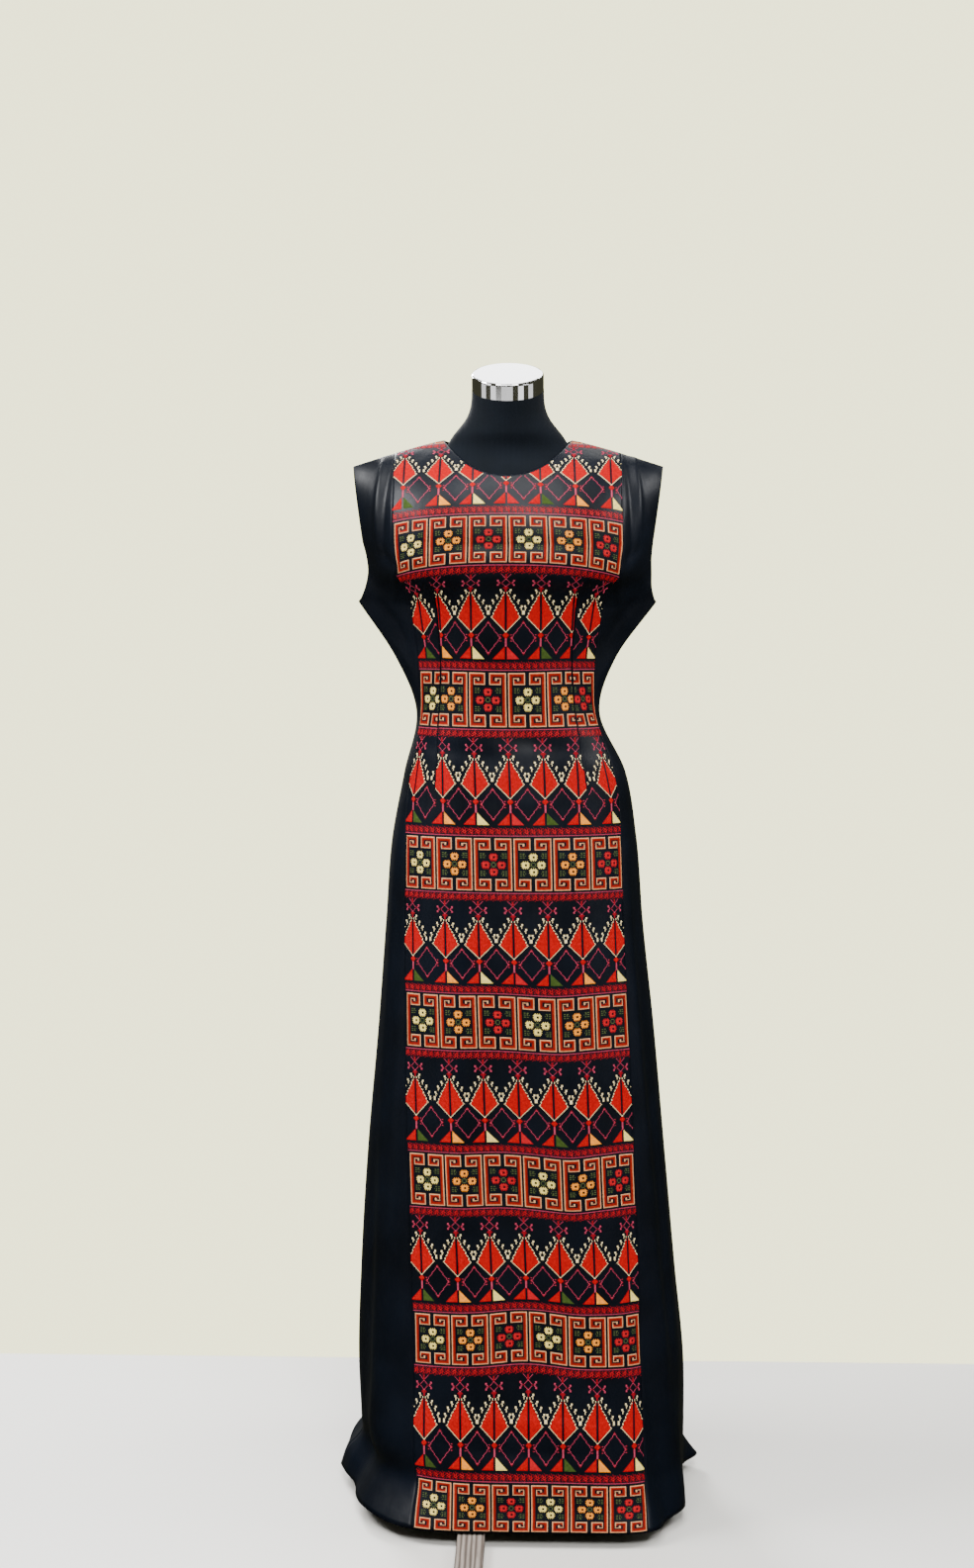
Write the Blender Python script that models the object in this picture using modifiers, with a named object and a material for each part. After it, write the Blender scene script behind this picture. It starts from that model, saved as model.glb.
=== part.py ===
"""A satin thobe with a cross-stitched front panel, on a limbless dress form and its wooden stand.

Metres, +Z up, the front facing -Y. The origin is on the floor, on the axis of the stand's pole.
The dress is four panels of cloth. Each is a wall that is lofted through level outlines from the hem to
the chest, and from there over the chest or the shoulder blades to the shoulder seam and the neckline.
"""

import math
from typing import NamedTuple

import bmesh
import bpy
import numpy as np

# Cloth
WALL = 0.0015
SEAM_GAP = 0.0003
PANEL_WIDTH = 0.330
HEM = 0.021
UNDERARM = 1.300
CHEST = 1.385
SQUARE_BACK = 2.4

# Shoulder line and neckline
SHOULDER_Y = 0.004
NECK_POINT_X = 0.0885
NECK_POINT_HEIGHT = 1.522
SHOULDER_TIP_X = 0.2150
SHOULDER_DROP = 0.0360
NECK_RISE = 0.30
PANEL_TOP_X = 0.1565
FRONT_NECK_DROP = 0.0453
BACK_NECK_DROP = 0.0160
NECK_ROUNDNESS = 2.2
SHOULDER_SLOPE = 1.15
SHOULDER_FALL = 1.6

# Waist darts in the front panel
DART_X = 0.104
DART_TAKE = 0.026
DART_HEIGHTS = (1.030, 1.160, 1.230, 1.295, 1.338)
DART_SHARES = (0, 0.85, 1, 0.7, 0)
DART_PINCH = 0.0025

# Stand
FOOT_REACH = 0.330
FOOT_HIDDEN_REACH = 0.245
FOOT_WIDTH = 0.038
FOOT_THICKNESS = 0.018
FOOT_OFFSET = 0.045
FOOT_INNER_END = 0.044
HUB_RADIUS = 0.075
HUB_BOSS_RADIUS = 0.0255
HUB_TOP = 0.040
POLE_RADIUS = 0.0125
POLE_FLANGE_RADIUS = 0.038
POLE_FLANGE_THICKNESS = 0.005
COLLAR_RADIUS = 0.032
COLLAR_THICKNESS = 0.016

# Dress form
NECK_TOP = 1.593
NECK_RADIUS = 0.0500
NECK_TILT = math.radians(19.0)
NECK_TILT_START = 1.530
CAP_HEIGHT = 0.023
CAP_RADIUS = 0.0497
CAP_EDGE = 0.0030
CLEARANCE = 0.0003


class Level(NamedTuple):
    """The dress's outline at one height: the side seams, and the two curves that join them."""

    height: float
    left: float
    right: float
    seam_y: float
    front_y: float
    back_y: float
    square_left: float
    square_right: float
    wing: float
    chamfer: float
    panel_x: float
    armhole: float


# square: 2 is an ellipse and more is boxier. wing: 0.5 is a round side, and more is a flat pointed one.
# chamfer adds to the left front's wing where the hem is spread. armhole is half the armhole's gap.
SKIRT = (
    #     height    left   right  seam_y front_y  back_y  sq_l  sq_r  wing  cham panel_x armhole
    Level(0.021, -0.2455, 0.2560, 0.045, -0.199, 0.272, 6.00, 9.00, 0.50, 0.60, 0.0360, 0),
    Level(0.048, -0.2360, 0.2570, 0.038, -0.190, 0.262, 4.50, 7.00, 0.50, 0.50, 0.0360, 0),
    Level(0.078, -0.2130, 0.2565, 0.032, -0.184, 0.256, 3.30, 5.40, 0.50, 0.20, 0.0355, 0),
    Level(0.110, -0.2125, 0.2565, 0.028, -0.179, 0.251, 3.10, 4.80, 0.50, 0.00, 0.0350, 0),
    Level(0.200, -0.2150, 0.2550, 0.020, -0.166, 0.240, 2.80, 4.00, 0.50, 0.00, 0.0340, 0),
    Level(0.340, -0.2100, 0.2410, 0.010, -0.152, 0.222, 2.60, 3.40, 0.50, 0.00, 0.0310, 0),
    Level(0.520, -0.1985, 0.2240, 0.005, -0.144, 0.200, 2.50, 3.00, 0.50, 0.00, 0.0235, 0),
    Level(0.700, -0.1820, 0.2070, 0.000, -0.137, 0.178, 2.40, 2.70, 0.50, 0.00, 0.0165, 0),
    Level(0.850, -0.1705, 0.1905, 0.000, -0.128, 0.158, 2.30, 2.40, 0.50, 0.00, 0.0115, 0),
    Level(0.970, -0.1610, 0.1805, 0.000, -0.116, 0.141, 2.30, 2.30, 0.50, 0.00, 0.0085, 0),
    Level(1.060, -0.1440, 0.1650, 0.000, -0.104, 0.115, 2.20, 2.20, 0.50, 0.00, 0.0055, 0),
    Level(1.150, -0.1270, 0.1275, 0.000, -0.092, 0.085, 2.10, 2.10, 0.55, 0.00, 0.0010, 0),
    Level(1.220, -0.1545, 0.1490, 0.000, -0.095, 0.089, 2.10, 2.10, 1.10, 0.00, 0.0000, 0),
    Level(1.300, -0.2075, 0.2060, 0.000, -0.107, 0.103, 2.50, 2.50, 1.70, 0.00, 0.0000, 0),
)
CHEST_LEVELS = (
    Level(1.300, -0.2075, 0.2060, 0.000, -0.107, 0.103, 2.50, 2.50, 1.70, 0.00, 0.0000, 0.000),
    Level(1.320, -0.1985, 0.2005, 0.000, -0.115, 0.106, 2.90, 2.90, 1.45, 0.00, 0.0000, 0.009),
    Level(1.342, -0.1930, 0.1990, 0.001, -0.129, 0.109, 3.50, 3.50, 1.10, 0.00, 0.0010, 0.016),
    Level(1.362, -0.1945, 0.1985, 0.002, -0.132, 0.111, 3.60, 3.60, 0.95, 0.00, 0.0020, 0.020),
    Level(1.385, -0.2000, 0.2005, 0.003, -0.128, 0.112, 3.50, 3.50, 0.90, 0.00, 0.0025, 0.023),
)
SKIRT_ROWS = (
    HEM, 0.036, 0.054, 0.078, 0.120, 0.190, 0.260, 0.350, 0.450, 0.560, 0.670, 0.780, 0.880,
    0.960, 1.030, 1.080, 1.120, 1.150, 1.185, 1.220, 1.262, 1.300,
)  # fmt: skip
CHEST_ROWS = (1.318, 1.336, 1.352, 1.368, CHEST)
SHOULDER_STEPS = 6
NECK_COLUMNS = (0, 0.3, 0.57, 0.8, 1)
SIDE_COLUMNS = 7
CURVE_SAMPLES = 401


class Fold(NamedTuple):
    """One soft upright fold of the skirt. place runs from -1 at the left seam to 1 at the right one."""

    place: float
    width: float
    depth: float
    top: float
    bottom: float


FRONT_FOLDS = (
    #     place width  depth   top   bottom
    Fold(-0.84, 0.10, -0.010, 0.75, 0.06),
    Fold(-0.62, 0.09, 0.007, 0.95, 0.10),
    Fold(0.52, 0.06, -0.008, 1.00, 0.02),
    Fold(0.66, 0.08, 0.009, 0.80, 0.02),
    Fold(0.86, 0.07, -0.007, 0.60, 0.06),
)
BACK_FOLDS = (
    Fold(-0.78, 0.09, 0.012, 0.80, 0.02),
    Fold(-0.50, 0.10, -0.016, 0.90, 0.02),
    Fold(-0.20, 0.11, 0.014, 0.70, 0.02),
    Fold(0.10, 0.10, -0.014, 0.95, 0.02),
    Fold(0.38, 0.09, 0.015, 0.85, 0.02),
    Fold(0.64, 0.08, -0.012, 0.75, 0.02),
    Fold(0.86, 0.08, 0.044, 0.075, 0.02),
)
FOLD_SWELL = 1.4


class Girth(NamedTuple):
    """The dress form's outline at one height."""

    height: float
    half_width: float
    front: float
    back: float
    square: float


FORM = (
    Girth(0.860, 0.138, 0.094, 0.112, 2.2),
    Girth(0.900, 0.148, 0.102, 0.120, 2.2),
    Girth(0.960, 0.150, 0.104, 0.122, 2.2),
    Girth(1.040, 0.136, 0.094, 0.106, 2.2),
    Girth(1.150, 0.109, 0.078, 0.070, 2.1),
    Girth(1.230, 0.113, 0.079, 0.074, 2.1),
    Girth(1.300, 0.128, 0.088, 0.084, 2.2),
    Girth(1.345, 0.142, 0.113, 0.095, 2.5),
    Girth(1.385, 0.148, 0.112, 0.098, 2.4),
    Girth(1.430, 0.152, 0.104, 0.092, 2.1),
    Girth(1.465, 0.150, 0.086, 0.075, 1.9),
    Girth(1.485, 0.144, 0.072, 0.062, 1.7),
    Girth(1.500, 0.120, 0.059, 0.053, 1.6),
    Girth(1.512, 0.0895, 0.053, 0.049, 1.7),
    Girth(1.524, 0.0800, 0.052, 0.050, 1.8),
    Girth(1.532, 0.0745, 0.053, 0.052, 1.9),
    Girth(1.542, 0.0660, 0.052, 0.053, 2.0),
    Girth(1.552, 0.0585, 0.051, 0.052, 2.0),
    Girth(1.566, 0.0525, 0.050, 0.051, 2.0),
    Girth(1.580, 0.0503, 0.050, 0.050, 2.0),
    Girth(NECK_TOP, NECK_RADIUS, NECK_RADIUS, NECK_RADIUS, 2.0),
)
FORM_ROWS = (
    0.862, 0.880, 0.920, 0.980, 1.050, 1.100, 1.150, 1.200, 1.250, 1.300, 1.340, 1.375, 1.410,
    1.440, 1.465, 1.485, 1.500, 1.512, 1.524, 1.532, 1.542, 1.552, 1.566, 1.580, NECK_TOP,
)  # fmt: skip
FORM_SIDES = 28


def smooth_table(rows, heights):
    """Each column of a table of named rows at these heights, along a cubic through the rows."""
    table = np.array(rows, float)
    known = table[:, 0]
    slopes = np.gradient(table, known, axis=0)
    heights = np.clip(heights, known[0], known[-1])
    low = np.clip(np.searchsorted(known, heights, side="right") - 1, 0, len(known) - 2)
    span = (known[low + 1] - known[low])[:, None]
    t = ((heights - known[low]) / span[:, 0])[:, None]
    rise = t * t * (3 - 2 * t)
    values = table[low] + (table[low + 1] - table[low]) * rise
    values += span * (t * (1 - t) ** 2 * slopes[low] - t * t * (1 - t) * slopes[low + 1])
    return [type(rows[0])(*row) for row in values]


def outline(level, front):
    """The plan curve of the front or the back at one level, from the left seam to the right one."""
    u = np.sin(np.linspace(-math.pi / 2, math.pi / 2, CURVE_SAMPLES))
    middle = level.panel_x
    x = middle + np.where(u < 0, u * (middle - level.left), u * (level.right - middle))
    side = -1 if front else 1
    start = level.seam_y + side * max(level.armhole, SEAM_GAP / 2)
    if front:
        square = np.where(u < 0, level.square_left, level.square_right)
        wing = level.wing + np.where(u < 0, level.chamfer, 0)
        y = start + (level.front_y - start) * (1 - np.abs(u) ** square) ** wing
    else:
        y = start + (level.back_y - start) * (1 - np.abs(u) ** SQUARE_BACK) ** level.wing
    return np.stack([x, y], axis=1)


def along(curve, zero_x):
    """Length along a plan curve, counted from where the curve passes zero_x."""
    length = np.concatenate([[0], np.cumsum(np.linalg.norm(np.diff(curve, axis=0), axis=1))])
    return length - np.interp(zero_x, curve[:, 0], length)


def dart_share(height):
    """How much of its full take a dart folds away at one height."""
    return float(np.interp(height, DART_HEIGHTS, DART_SHARES))


def front_columns():
    """How the front's columns lie across it: (side panel, share of it) or (front panel, distance)."""
    neck = NECK_POINT_X * PANEL_WIDTH / 2 / PANEL_TOP_X
    half = [neck * part for part in NECK_COLUMNS]
    half += [DART_X, (DART_X + PANEL_WIDTH / 2) / 2, PANEL_WIDTH / 2]
    middle = [-s for s in reversed(half[1:])] + half
    share = [step / SIDE_COLUMNS for step in range(1, SIDE_COLUMNS + 1)]
    return middle, share


def front_row_places(level, middle, share):
    """Distances along the front's plan curve where its columns lie at one level."""
    curve = outline(level, front=True)
    length = along(curve, level.panel_x)
    take = DART_TAKE * dart_share(level.height)
    panel = [math.copysign(abs(s) - take * (abs(s) > DART_X), s) if s else 0.0 for s in middle]
    left = [panel[0] + (length[0] - panel[0]) * part for part in reversed(share)]
    right = [panel[-1] + (length[-1] - panel[-1]) * part for part in share]
    places = np.array(left + panel + right)
    x = np.interp(places, length, curve[:, 0])
    y = np.interp(places, length, curve[:, 1])
    ends = np.where(places < 0, -length[0], length[-1])
    return x, y, places / ends


def back_row_places(level, count):
    """The same for the back, whose columns are evenly spaced."""
    curve = outline(level, front=False)
    length = along(curve, level.panel_x)
    places = np.linspace(length[0], length[-1], count)
    x = np.interp(places, length, curve[:, 0])
    y = np.interp(places, length, curve[:, 1])
    return x, y, np.linspace(-1, 1, count)


def shoulder_height(x):
    """Height of the shoulder line, and of the line it would follow on across the neck."""
    out = np.abs(x) - NECK_POINT_X
    run = SHOULDER_TIP_X - NECK_POINT_X
    fall = SHOULDER_DROP * (np.maximum(out, 0) / run) ** SHOULDER_SLOPE
    return NECK_POINT_HEIGHT - fall + NECK_RISE * np.maximum(-out, 0)


def top_edge(x, neck_drop):
    """Height of the cloth's top edge: the shoulder seam, with the neckline cut into it."""
    inside = np.minimum(np.abs(x) / NECK_POINT_X, 1)
    neckline = NECK_POINT_HEIGHT - neck_drop * (1 - inside**NECK_ROUNDNESS)
    return np.where(inside < 1, neckline, shoulder_height(x))


def shoulder_rows(x, y, top_x, neck_drop, side):
    """The rows that go from the chest's row over to the shoulder seam and the neckline."""
    seam_y = SHOULDER_Y + side * SEAM_GAP / 2
    rise = shoulder_height(top_x) - CHEST
    end = np.arcsin(np.clip((top_edge(top_x, neck_drop) - CHEST) / rise, 0, 1))
    rows = []
    for step in range(1, SHOULDER_STEPS + 1):
        turn = end * step / SHOULDER_STEPS
        share = np.sin(turn) / np.sin(end)
        row_y = seam_y + (y - seam_y) * np.maximum(np.cos(turn), 0) ** SHOULDER_FALL
        rows.append(np.stack([x + (top_x - x) * share, row_y, CHEST + rise * np.sin(turn)], axis=1))
    return rows


def fold_push(folds, places, height):
    """How far the folds push the cloth out at one height."""
    push = np.zeros(len(places))
    for fold in folds:
        depth = np.clip((fold.top - height) / (fold.top - fold.bottom), 0, 1) ** FOLD_SWELL
        push += fold.depth * depth * np.exp(-(((places - fold.place) / fold.width) ** 2))
    return push * (1 - places**8)


def outward(points, side):
    """Unit normals of a lattice of points, facing out of the dress, and shared at its seams."""
    across = np.gradient(points, axis=1)
    up = np.gradient(points, axis=0)
    normal = np.cross(across, up) * (1 if side < 0 else -1)
    sewn = points[:, 0, 2] <= UNDERARM
    normal[sewn, 0] = (-1, 0, 0)
    normal[sewn, -1] = (1, 0, 0)
    normal[-1, np.abs(points[-1, :, 0]) >= NECK_POINT_X, 1] = 0
    return normal / np.linalg.norm(normal, axis=2, keepdims=True)


def lattice(side):
    """Inner points of the front (side -1) or the back (side 1), row by row from the hem up."""
    middle, share = front_columns()
    heights = np.array(SKIRT_ROWS + CHEST_ROWS)
    levels = smooth_table(SKIRT, heights[: len(SKIRT_ROWS)])
    levels += smooth_table(CHEST_LEVELS, heights[len(SKIRT_ROWS) :])
    count = len(middle) + 2 * len(share)
    rows, places = [], []
    for level in levels:
        if side < 0:
            x, y, place = front_row_places(level, middle, share)
        else:
            x, y, place = back_row_places(level, count)
        rows.append(np.stack([x, y, np.full(count, level.height)], axis=1))
        places.append(place)
    if side < 0:
        panel = np.array(middle) * PANEL_TOP_X / (PANEL_WIDTH / 2)
        outer = PANEL_TOP_X + (SHOULDER_TIP_X - PANEL_TOP_X) * np.array(share)
        top_x = np.concatenate([-outer[::-1], panel, outer])
        folds, drop = FRONT_FOLDS, FRONT_NECK_DROP
    else:
        top_x = np.linspace(-SHOULDER_TIP_X, SHOULDER_TIP_X, count)
        near = np.argmin(np.abs(np.abs(top_x)[:, None] - NECK_POINT_X), axis=0)[0]
        top_x[[near, count - 1 - near]] = np.copysign(NECK_POINT_X, top_x[[near, count - 1 - near]])
        folds, drop = BACK_FOLDS, BACK_NECK_DROP
    chest = rows[-1]
    points = np.array(rows + shoulder_rows(chest[:, 0], chest[:, 1], top_x, drop, side))
    push = np.zeros(points.shape[:2])
    for row, (place, height) in enumerate(zip(places, heights)):
        push[row] = fold_push(folds, place, height)
        if side < 0:
            for sign in (-1, 1):
                dart = len(share) + middle.index(sign * DART_X)
                push[row, dart] -= DART_PINCH * dart_share(height)
    return points + push[:, :, None] * outward(points, side), len(share)


def cloth(name, points, normals, material):
    """A wall of cloth on a lattice of inner points: the inner and outer faces and the turned edges."""
    rows, columns = points.shape[:2]
    mesh = bmesh.new()
    skins = []
    for skin in (points, points + WALL * normals):
        skins.append([[mesh.verts.new(point) for point in row] for row in skin])
    inner, outer = skins
    for i in range(rows - 1):
        for j in range(columns - 1):
            mesh.faces.new([outer[i][j], outer[i][j + 1], outer[i + 1][j + 1], outer[i + 1][j]])
            mesh.faces.new([inner[i][j], inner[i + 1][j], inner[i + 1][j + 1], inner[i][j + 1]])
    rim = [(0, j) for j in range(columns)] + [(i, columns - 1) for i in range(1, rows)]
    rim += [(rows - 1, j) for j in range(columns - 2, -1, -1)] + [(i, 0) for i in range(rows - 2, 0, -1)]
    for (i, j), (k, m) in zip(rim, rim[1:] + rim[:1]):
        mesh.faces.new([inner[i][j], inner[k][m], outer[k][m], outer[i][j]])
    bmesh.ops.recalc_face_normals(mesh, faces=mesh.faces)
    bmesh.ops.triangulate(mesh, faces=mesh.faces)
    return finished(name, mesh, material)


def finished(name, mesh, material):
    """The named object made from a bmesh, in the part's collection."""
    data = bpy.data.meshes.new(name)
    mesh.to_mesh(data)
    mesh.free()
    data.shade_smooth()
    data.set_sharp_from_angle(angle=math.radians(40))
    data.materials.append(material)
    piece = bpy.data.objects.new(name, data)
    bpy.data.collections["thobe_on_dress_form"].objects.link(piece)
    return piece


def gap_edge(points, column, inwards):
    """Moves one edge column of a panel half the seam's gap into the panel."""
    neighbour = points[:, column + inwards]
    direction = neighbour - points[:, column]
    direction /= np.linalg.norm(direction, axis=1, keepdims=True)
    points[:, column] += direction * SEAM_GAP / 2


def front_panels(satin, stitched):
    """The stitched middle panel and the two plain ones that are sewn to its sides."""
    points, side_columns = lattice(-1)
    normals = outward(points, -1)
    last = points.shape[1] - 1
    cuts = {
        "front_side_panel_left": (0, side_columns, satin),
        "front_embroidered_panel": (side_columns, last - side_columns, stitched),
        "front_side_panel_right": (last - side_columns, last, satin),
    }
    for name, (start, stop, material) in cuts.items():
        piece = points[:, start : stop + 1].copy()
        if start:
            gap_edge(piece, 0, 1)
        if stop < last:
            gap_edge(piece, -1, -1)
        cloth(name, piece, normals[:, start : stop + 1], material)


def back_panel(satin):
    """The plain back, in one piece from side seam to side seam."""
    points, _ = lattice(1)
    cloth("back_panel", points, outward(points, 1), satin)


def form_ring(girth):
    """One ring of the dress form, tipped forward towards the neck's top."""
    turn = np.linspace(0, 2 * math.pi, FORM_SIDES, endpoint=False)
    power = 2 / girth.square
    x = girth.half_width * np.copysign(np.abs(np.cos(turn)) ** power, np.cos(turn))
    y = np.copysign(np.abs(np.sin(turn)) ** power, np.sin(turn))
    y *= np.where(y < 0, girth.front, girth.back)
    share = np.clip((girth.height - NECK_TILT_START) / (NECK_TOP - NECK_TILT_START), 0, 1)
    tilt = NECK_TILT * share
    return np.stack([x, y * math.cos(tilt), girth.height + y * math.sin(tilt)], axis=1)


def form_torso(jersey):
    """The limbless torso and neck: rings from the hips to the neck, with a flat bottom and top."""
    mesh = bmesh.new()
    rings = []
    for girth in smooth_table(FORM, np.array(FORM_ROWS)):
        rings.append([mesh.verts.new(point) for point in form_ring(girth)])
    for low, high in zip(rings, rings[1:]):
        for j in range(FORM_SIDES):
            k = (j + 1) % FORM_SIDES
            mesh.faces.new([low[j], low[k], high[k], high[j]])
    mesh.faces.new(rings[0][::-1])
    mesh.faces.new(rings[-1])
    bmesh.ops.recalc_face_normals(mesh, faces=mesh.faces)
    bmesh.ops.triangulate(mesh, faces=mesh.faces)
    finished("form_torso", mesh, jersey)


def turned(name, profile, steps, material):
    """A turned piece: a profile of (radius, height) points, from the top down, spun about Z."""
    mesh = bmesh.new()
    points = [mesh.verts.new((radius, 0, height)) for radius, height in profile]
    for first, second in zip(points, points[1:]):
        mesh.edges.new([first, second])
    piece = finished(name, mesh, material)
    screw = piece.modifiers.new("turning", "SCREW")
    screw.steps = screw.render_steps = steps
    screw.use_merge_vertices = True
    screw.merge_threshold = 0.00001
    return piece


def neck_cap(chrome):
    """The metal cap on the neck, tipped forward with it."""
    arc = [math.radians(angle) for angle in (90, 60, 30, 0)]
    middle = CAP_RADIUS - CAP_EDGE
    profile = [(0, CAP_HEIGHT + 0.0015), (middle * 0.6, CAP_HEIGHT + 0.0009)]
    profile += [
        (middle + CAP_EDGE * math.cos(angle), CAP_HEIGHT - CAP_EDGE + CAP_EDGE * math.sin(angle))
        for angle in arc
    ]
    profile += [(CAP_RADIUS, 0), (0, 0)]
    cap = turned("neck_cap", profile, 40, chrome)
    cap.location = (0, CLEARANCE * -math.sin(NECK_TILT), NECK_TOP + CLEARANCE * math.cos(NECK_TILT))
    cap.rotation_euler = (NECK_TILT, 0, 0)


def stand(steel, timber):
    """The collar under the torso, the pole and its flange, the hub and the three boards."""
    bore = POLE_RADIUS + CLEARANCE
    collar_high = FORM_ROWS[0] - CLEARANCE
    collar_low = collar_high - COLLAR_THICKNESS
    turned(
        "form_collar",
        [(bore, collar_high), (COLLAR_RADIUS, collar_high), (COLLAR_RADIUS, collar_low),
         (bore, collar_low), (bore, collar_high)],
        32,
        steel,
    )  # fmt: skip
    flange = HUB_TOP + CLEARANCE
    turned(
        "stand_pole",
        [(0, collar_high), (POLE_RADIUS, collar_high),
         (POLE_RADIUS, flange + POLE_FLANGE_THICKNESS),
         (POLE_FLANGE_RADIUS, flange + POLE_FLANGE_THICKNESS), (POLE_FLANGE_RADIUS, flange), (0, flange)],
        32,
        steel,
    )  # fmt: skip
    plate = FOOT_THICKNESS + CLEARANCE
    turned(
        "stand_hub",
        [(0, HUB_TOP), (HUB_RADIUS - 0.003, HUB_TOP), (HUB_RADIUS, HUB_TOP - 0.003),
         (HUB_RADIUS, plate), (HUB_BOSS_RADIUS, plate), (HUB_BOSS_RADIUS, 0), (0, 0)],
        40,
        timber,
    )  # fmt: skip
    for name, turn, reach in (
        ("stand_foot_front", 0, FOOT_REACH),
        ("stand_foot_right", 120, FOOT_HIDDEN_REACH),
        ("stand_foot_left", 240, FOOT_HIDDEN_REACH),
    ):
        foot(name, math.radians(turn), reach, timber)


def foot(name, turn, reach, timber):
    """A flat board that passes beside the pole's axis and runs out from it, along -Y before it is turned."""
    mesh = bmesh.new()
    bmesh.ops.create_cube(mesh, size=1)
    length = reach + FOOT_INNER_END
    bmesh.ops.scale(mesh, vec=(FOOT_WIDTH, length, FOOT_THICKNESS), verts=mesh.verts)
    centre = (-FOOT_OFFSET, FOOT_INNER_END - length / 2, FOOT_THICKNESS / 2)
    bmesh.ops.translate(mesh, vec=centre, verts=mesh.verts)
    piece = finished(name, mesh, timber)
    piece.rotation_euler = (0, 0, turn)
    edge = piece.modifiers.new("eased_edges", "BEVEL")
    edge.width = 0.0015
    edge.segments = 2


def make_material(name, colour, roughness, metallic=0.0):
    material = bpy.data.materials.new(name)
    material.use_nodes = True
    shader = material.node_tree.nodes["Principled BSDF"]
    shader.inputs["Base Color"].default_value = (*colour, 1)
    shader.inputs["Roughness"].default_value = roughness
    shader.inputs["Metallic"].default_value = metallic
    return material


def main():
    for old in list(bpy.data.objects):
        bpy.data.objects.remove(old, do_unlink=True)
    collection = bpy.data.collections.new("thobe_on_dress_form")
    bpy.context.scene.collection.children.link(collection)
    satin = make_material("black_satin", (0.004, 0.006, 0.009), 0.35)
    stitched = make_material("stitched_satin", (0.30, 0.02, 0.015), 0.6)
    jersey = make_material("black_jersey", (0.010, 0.013, 0.020), 0.9)
    chrome = make_material("bright_chrome", (0.85, 0.85, 0.86), 0.08, 1.0)
    steel = make_material("stand_steel", (0.45, 0.45, 0.46), 0.35, 1.0)
    timber = make_material("weathered_timber", (0.26, 0.23, 0.21), 0.7)
    front_panels(satin, stitched)
    back_panel(satin)
    form_torso(jersey)
    neck_cap(chrome)
    stand(steel, timber)


main()
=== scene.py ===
"""A satin thobe with a cross-stitched front panel, on its dress form and wooden stand.

The cloth is cut, folded and creased from short tables of sizes. The stitches are charted row by row, as on
graph paper, and laid on the front panel as raised crosses of cotton floss.
"""

from __future__ import annotations

import logging
import math
from dataclasses import dataclass, field
from enum import Enum
from typing import NamedTuple

import bpy
import numpy as np
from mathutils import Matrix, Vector


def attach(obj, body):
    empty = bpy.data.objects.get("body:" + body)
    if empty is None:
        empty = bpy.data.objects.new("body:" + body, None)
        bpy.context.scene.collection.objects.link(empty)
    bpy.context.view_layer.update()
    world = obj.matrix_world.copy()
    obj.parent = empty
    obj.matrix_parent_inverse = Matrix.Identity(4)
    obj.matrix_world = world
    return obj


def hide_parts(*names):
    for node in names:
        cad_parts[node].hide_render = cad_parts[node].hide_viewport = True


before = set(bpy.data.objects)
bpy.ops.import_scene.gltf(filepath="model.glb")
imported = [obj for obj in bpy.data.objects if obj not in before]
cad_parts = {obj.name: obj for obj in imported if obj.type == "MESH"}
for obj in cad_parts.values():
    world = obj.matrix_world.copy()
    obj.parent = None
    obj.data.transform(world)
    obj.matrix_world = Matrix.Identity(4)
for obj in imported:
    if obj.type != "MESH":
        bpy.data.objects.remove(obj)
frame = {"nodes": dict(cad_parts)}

log = logging.getLogger("thobe")

BODY = "root"

# Cloth, in metres, as in the part. The last is the power of the back's curve.
WALL = 0.0015
PANEL_WIDTH = 0.330
HEM = 0.021
UNDERARM = 1.300
CHEST = 1.385
SQUARE_BACK = 2.4

# Cloth, in metres, as only this script has it: its seams close up more than the part's
SATIN_THICKNESS = 0.0008
SEAM_GAP = 0.00004
SIDE_PANEL_WIDTH = 0.20

# Shoulder line and neckline
SHOULDER_Y = 0.004
NECK_POINT_X = 0.0885
NECK_POINT_HEIGHT = 1.522
SHOULDER_TIP_X = 0.2150
SHOULDER_DROP = 0.0360
SHOULDER_SLOPE = 1.15
NECK_RISE = 0.30
PANEL_TOP_X = 0.1565
FRONT_NECK_DROP = 0.0453
BACK_NECK_DROP = 0.0160
NECK_ROUNDNESS = 2.2
SHOULDER_FALL = 1.6

# Waist darts in the front panel
DART_MIDDLE = 0.110
DART_TAKE = 0.026
DART_HEIGHTS = (1.030, 1.160, 1.230, 1.315, 1.340)
DART_SHARES = (0, 0.85, 1, 0.75, 0)
DART_PINCH = 0.0025
DART_LEFT_OVER = 0.05
DART_EDGE = 0.002

# Lattice spacing
SKIRT_STEP = 0.0056
CHEST_STEP = 0.0050
SHOULDER_STEPS = 36
PANEL_COLUMNS = 120
SIDE_COLUMNS = 30
BACK_COLUMNS = 108
CURVE_SAMPLES = 801
PANEL_PLACES = np.linspace(-PANEL_WIDTH / 2, PANEL_WIDTH / 2, PANEL_COLUMNS + 1)
SIDE_SHARES = np.arange(1, SIDE_COLUMNS + 1) / SIDE_COLUMNS
SEAM_FADE = 0.04


class Level(NamedTuple):
    """The dress's outline at one height: the side seams, and the two curves that join them."""

    height: float
    left: float
    right: float
    seam_y: float
    front_y: float
    back_y: float
    square_left: float
    square_right: float
    wing: float
    chamfer: float
    panel_x: float
    armhole: float


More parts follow.
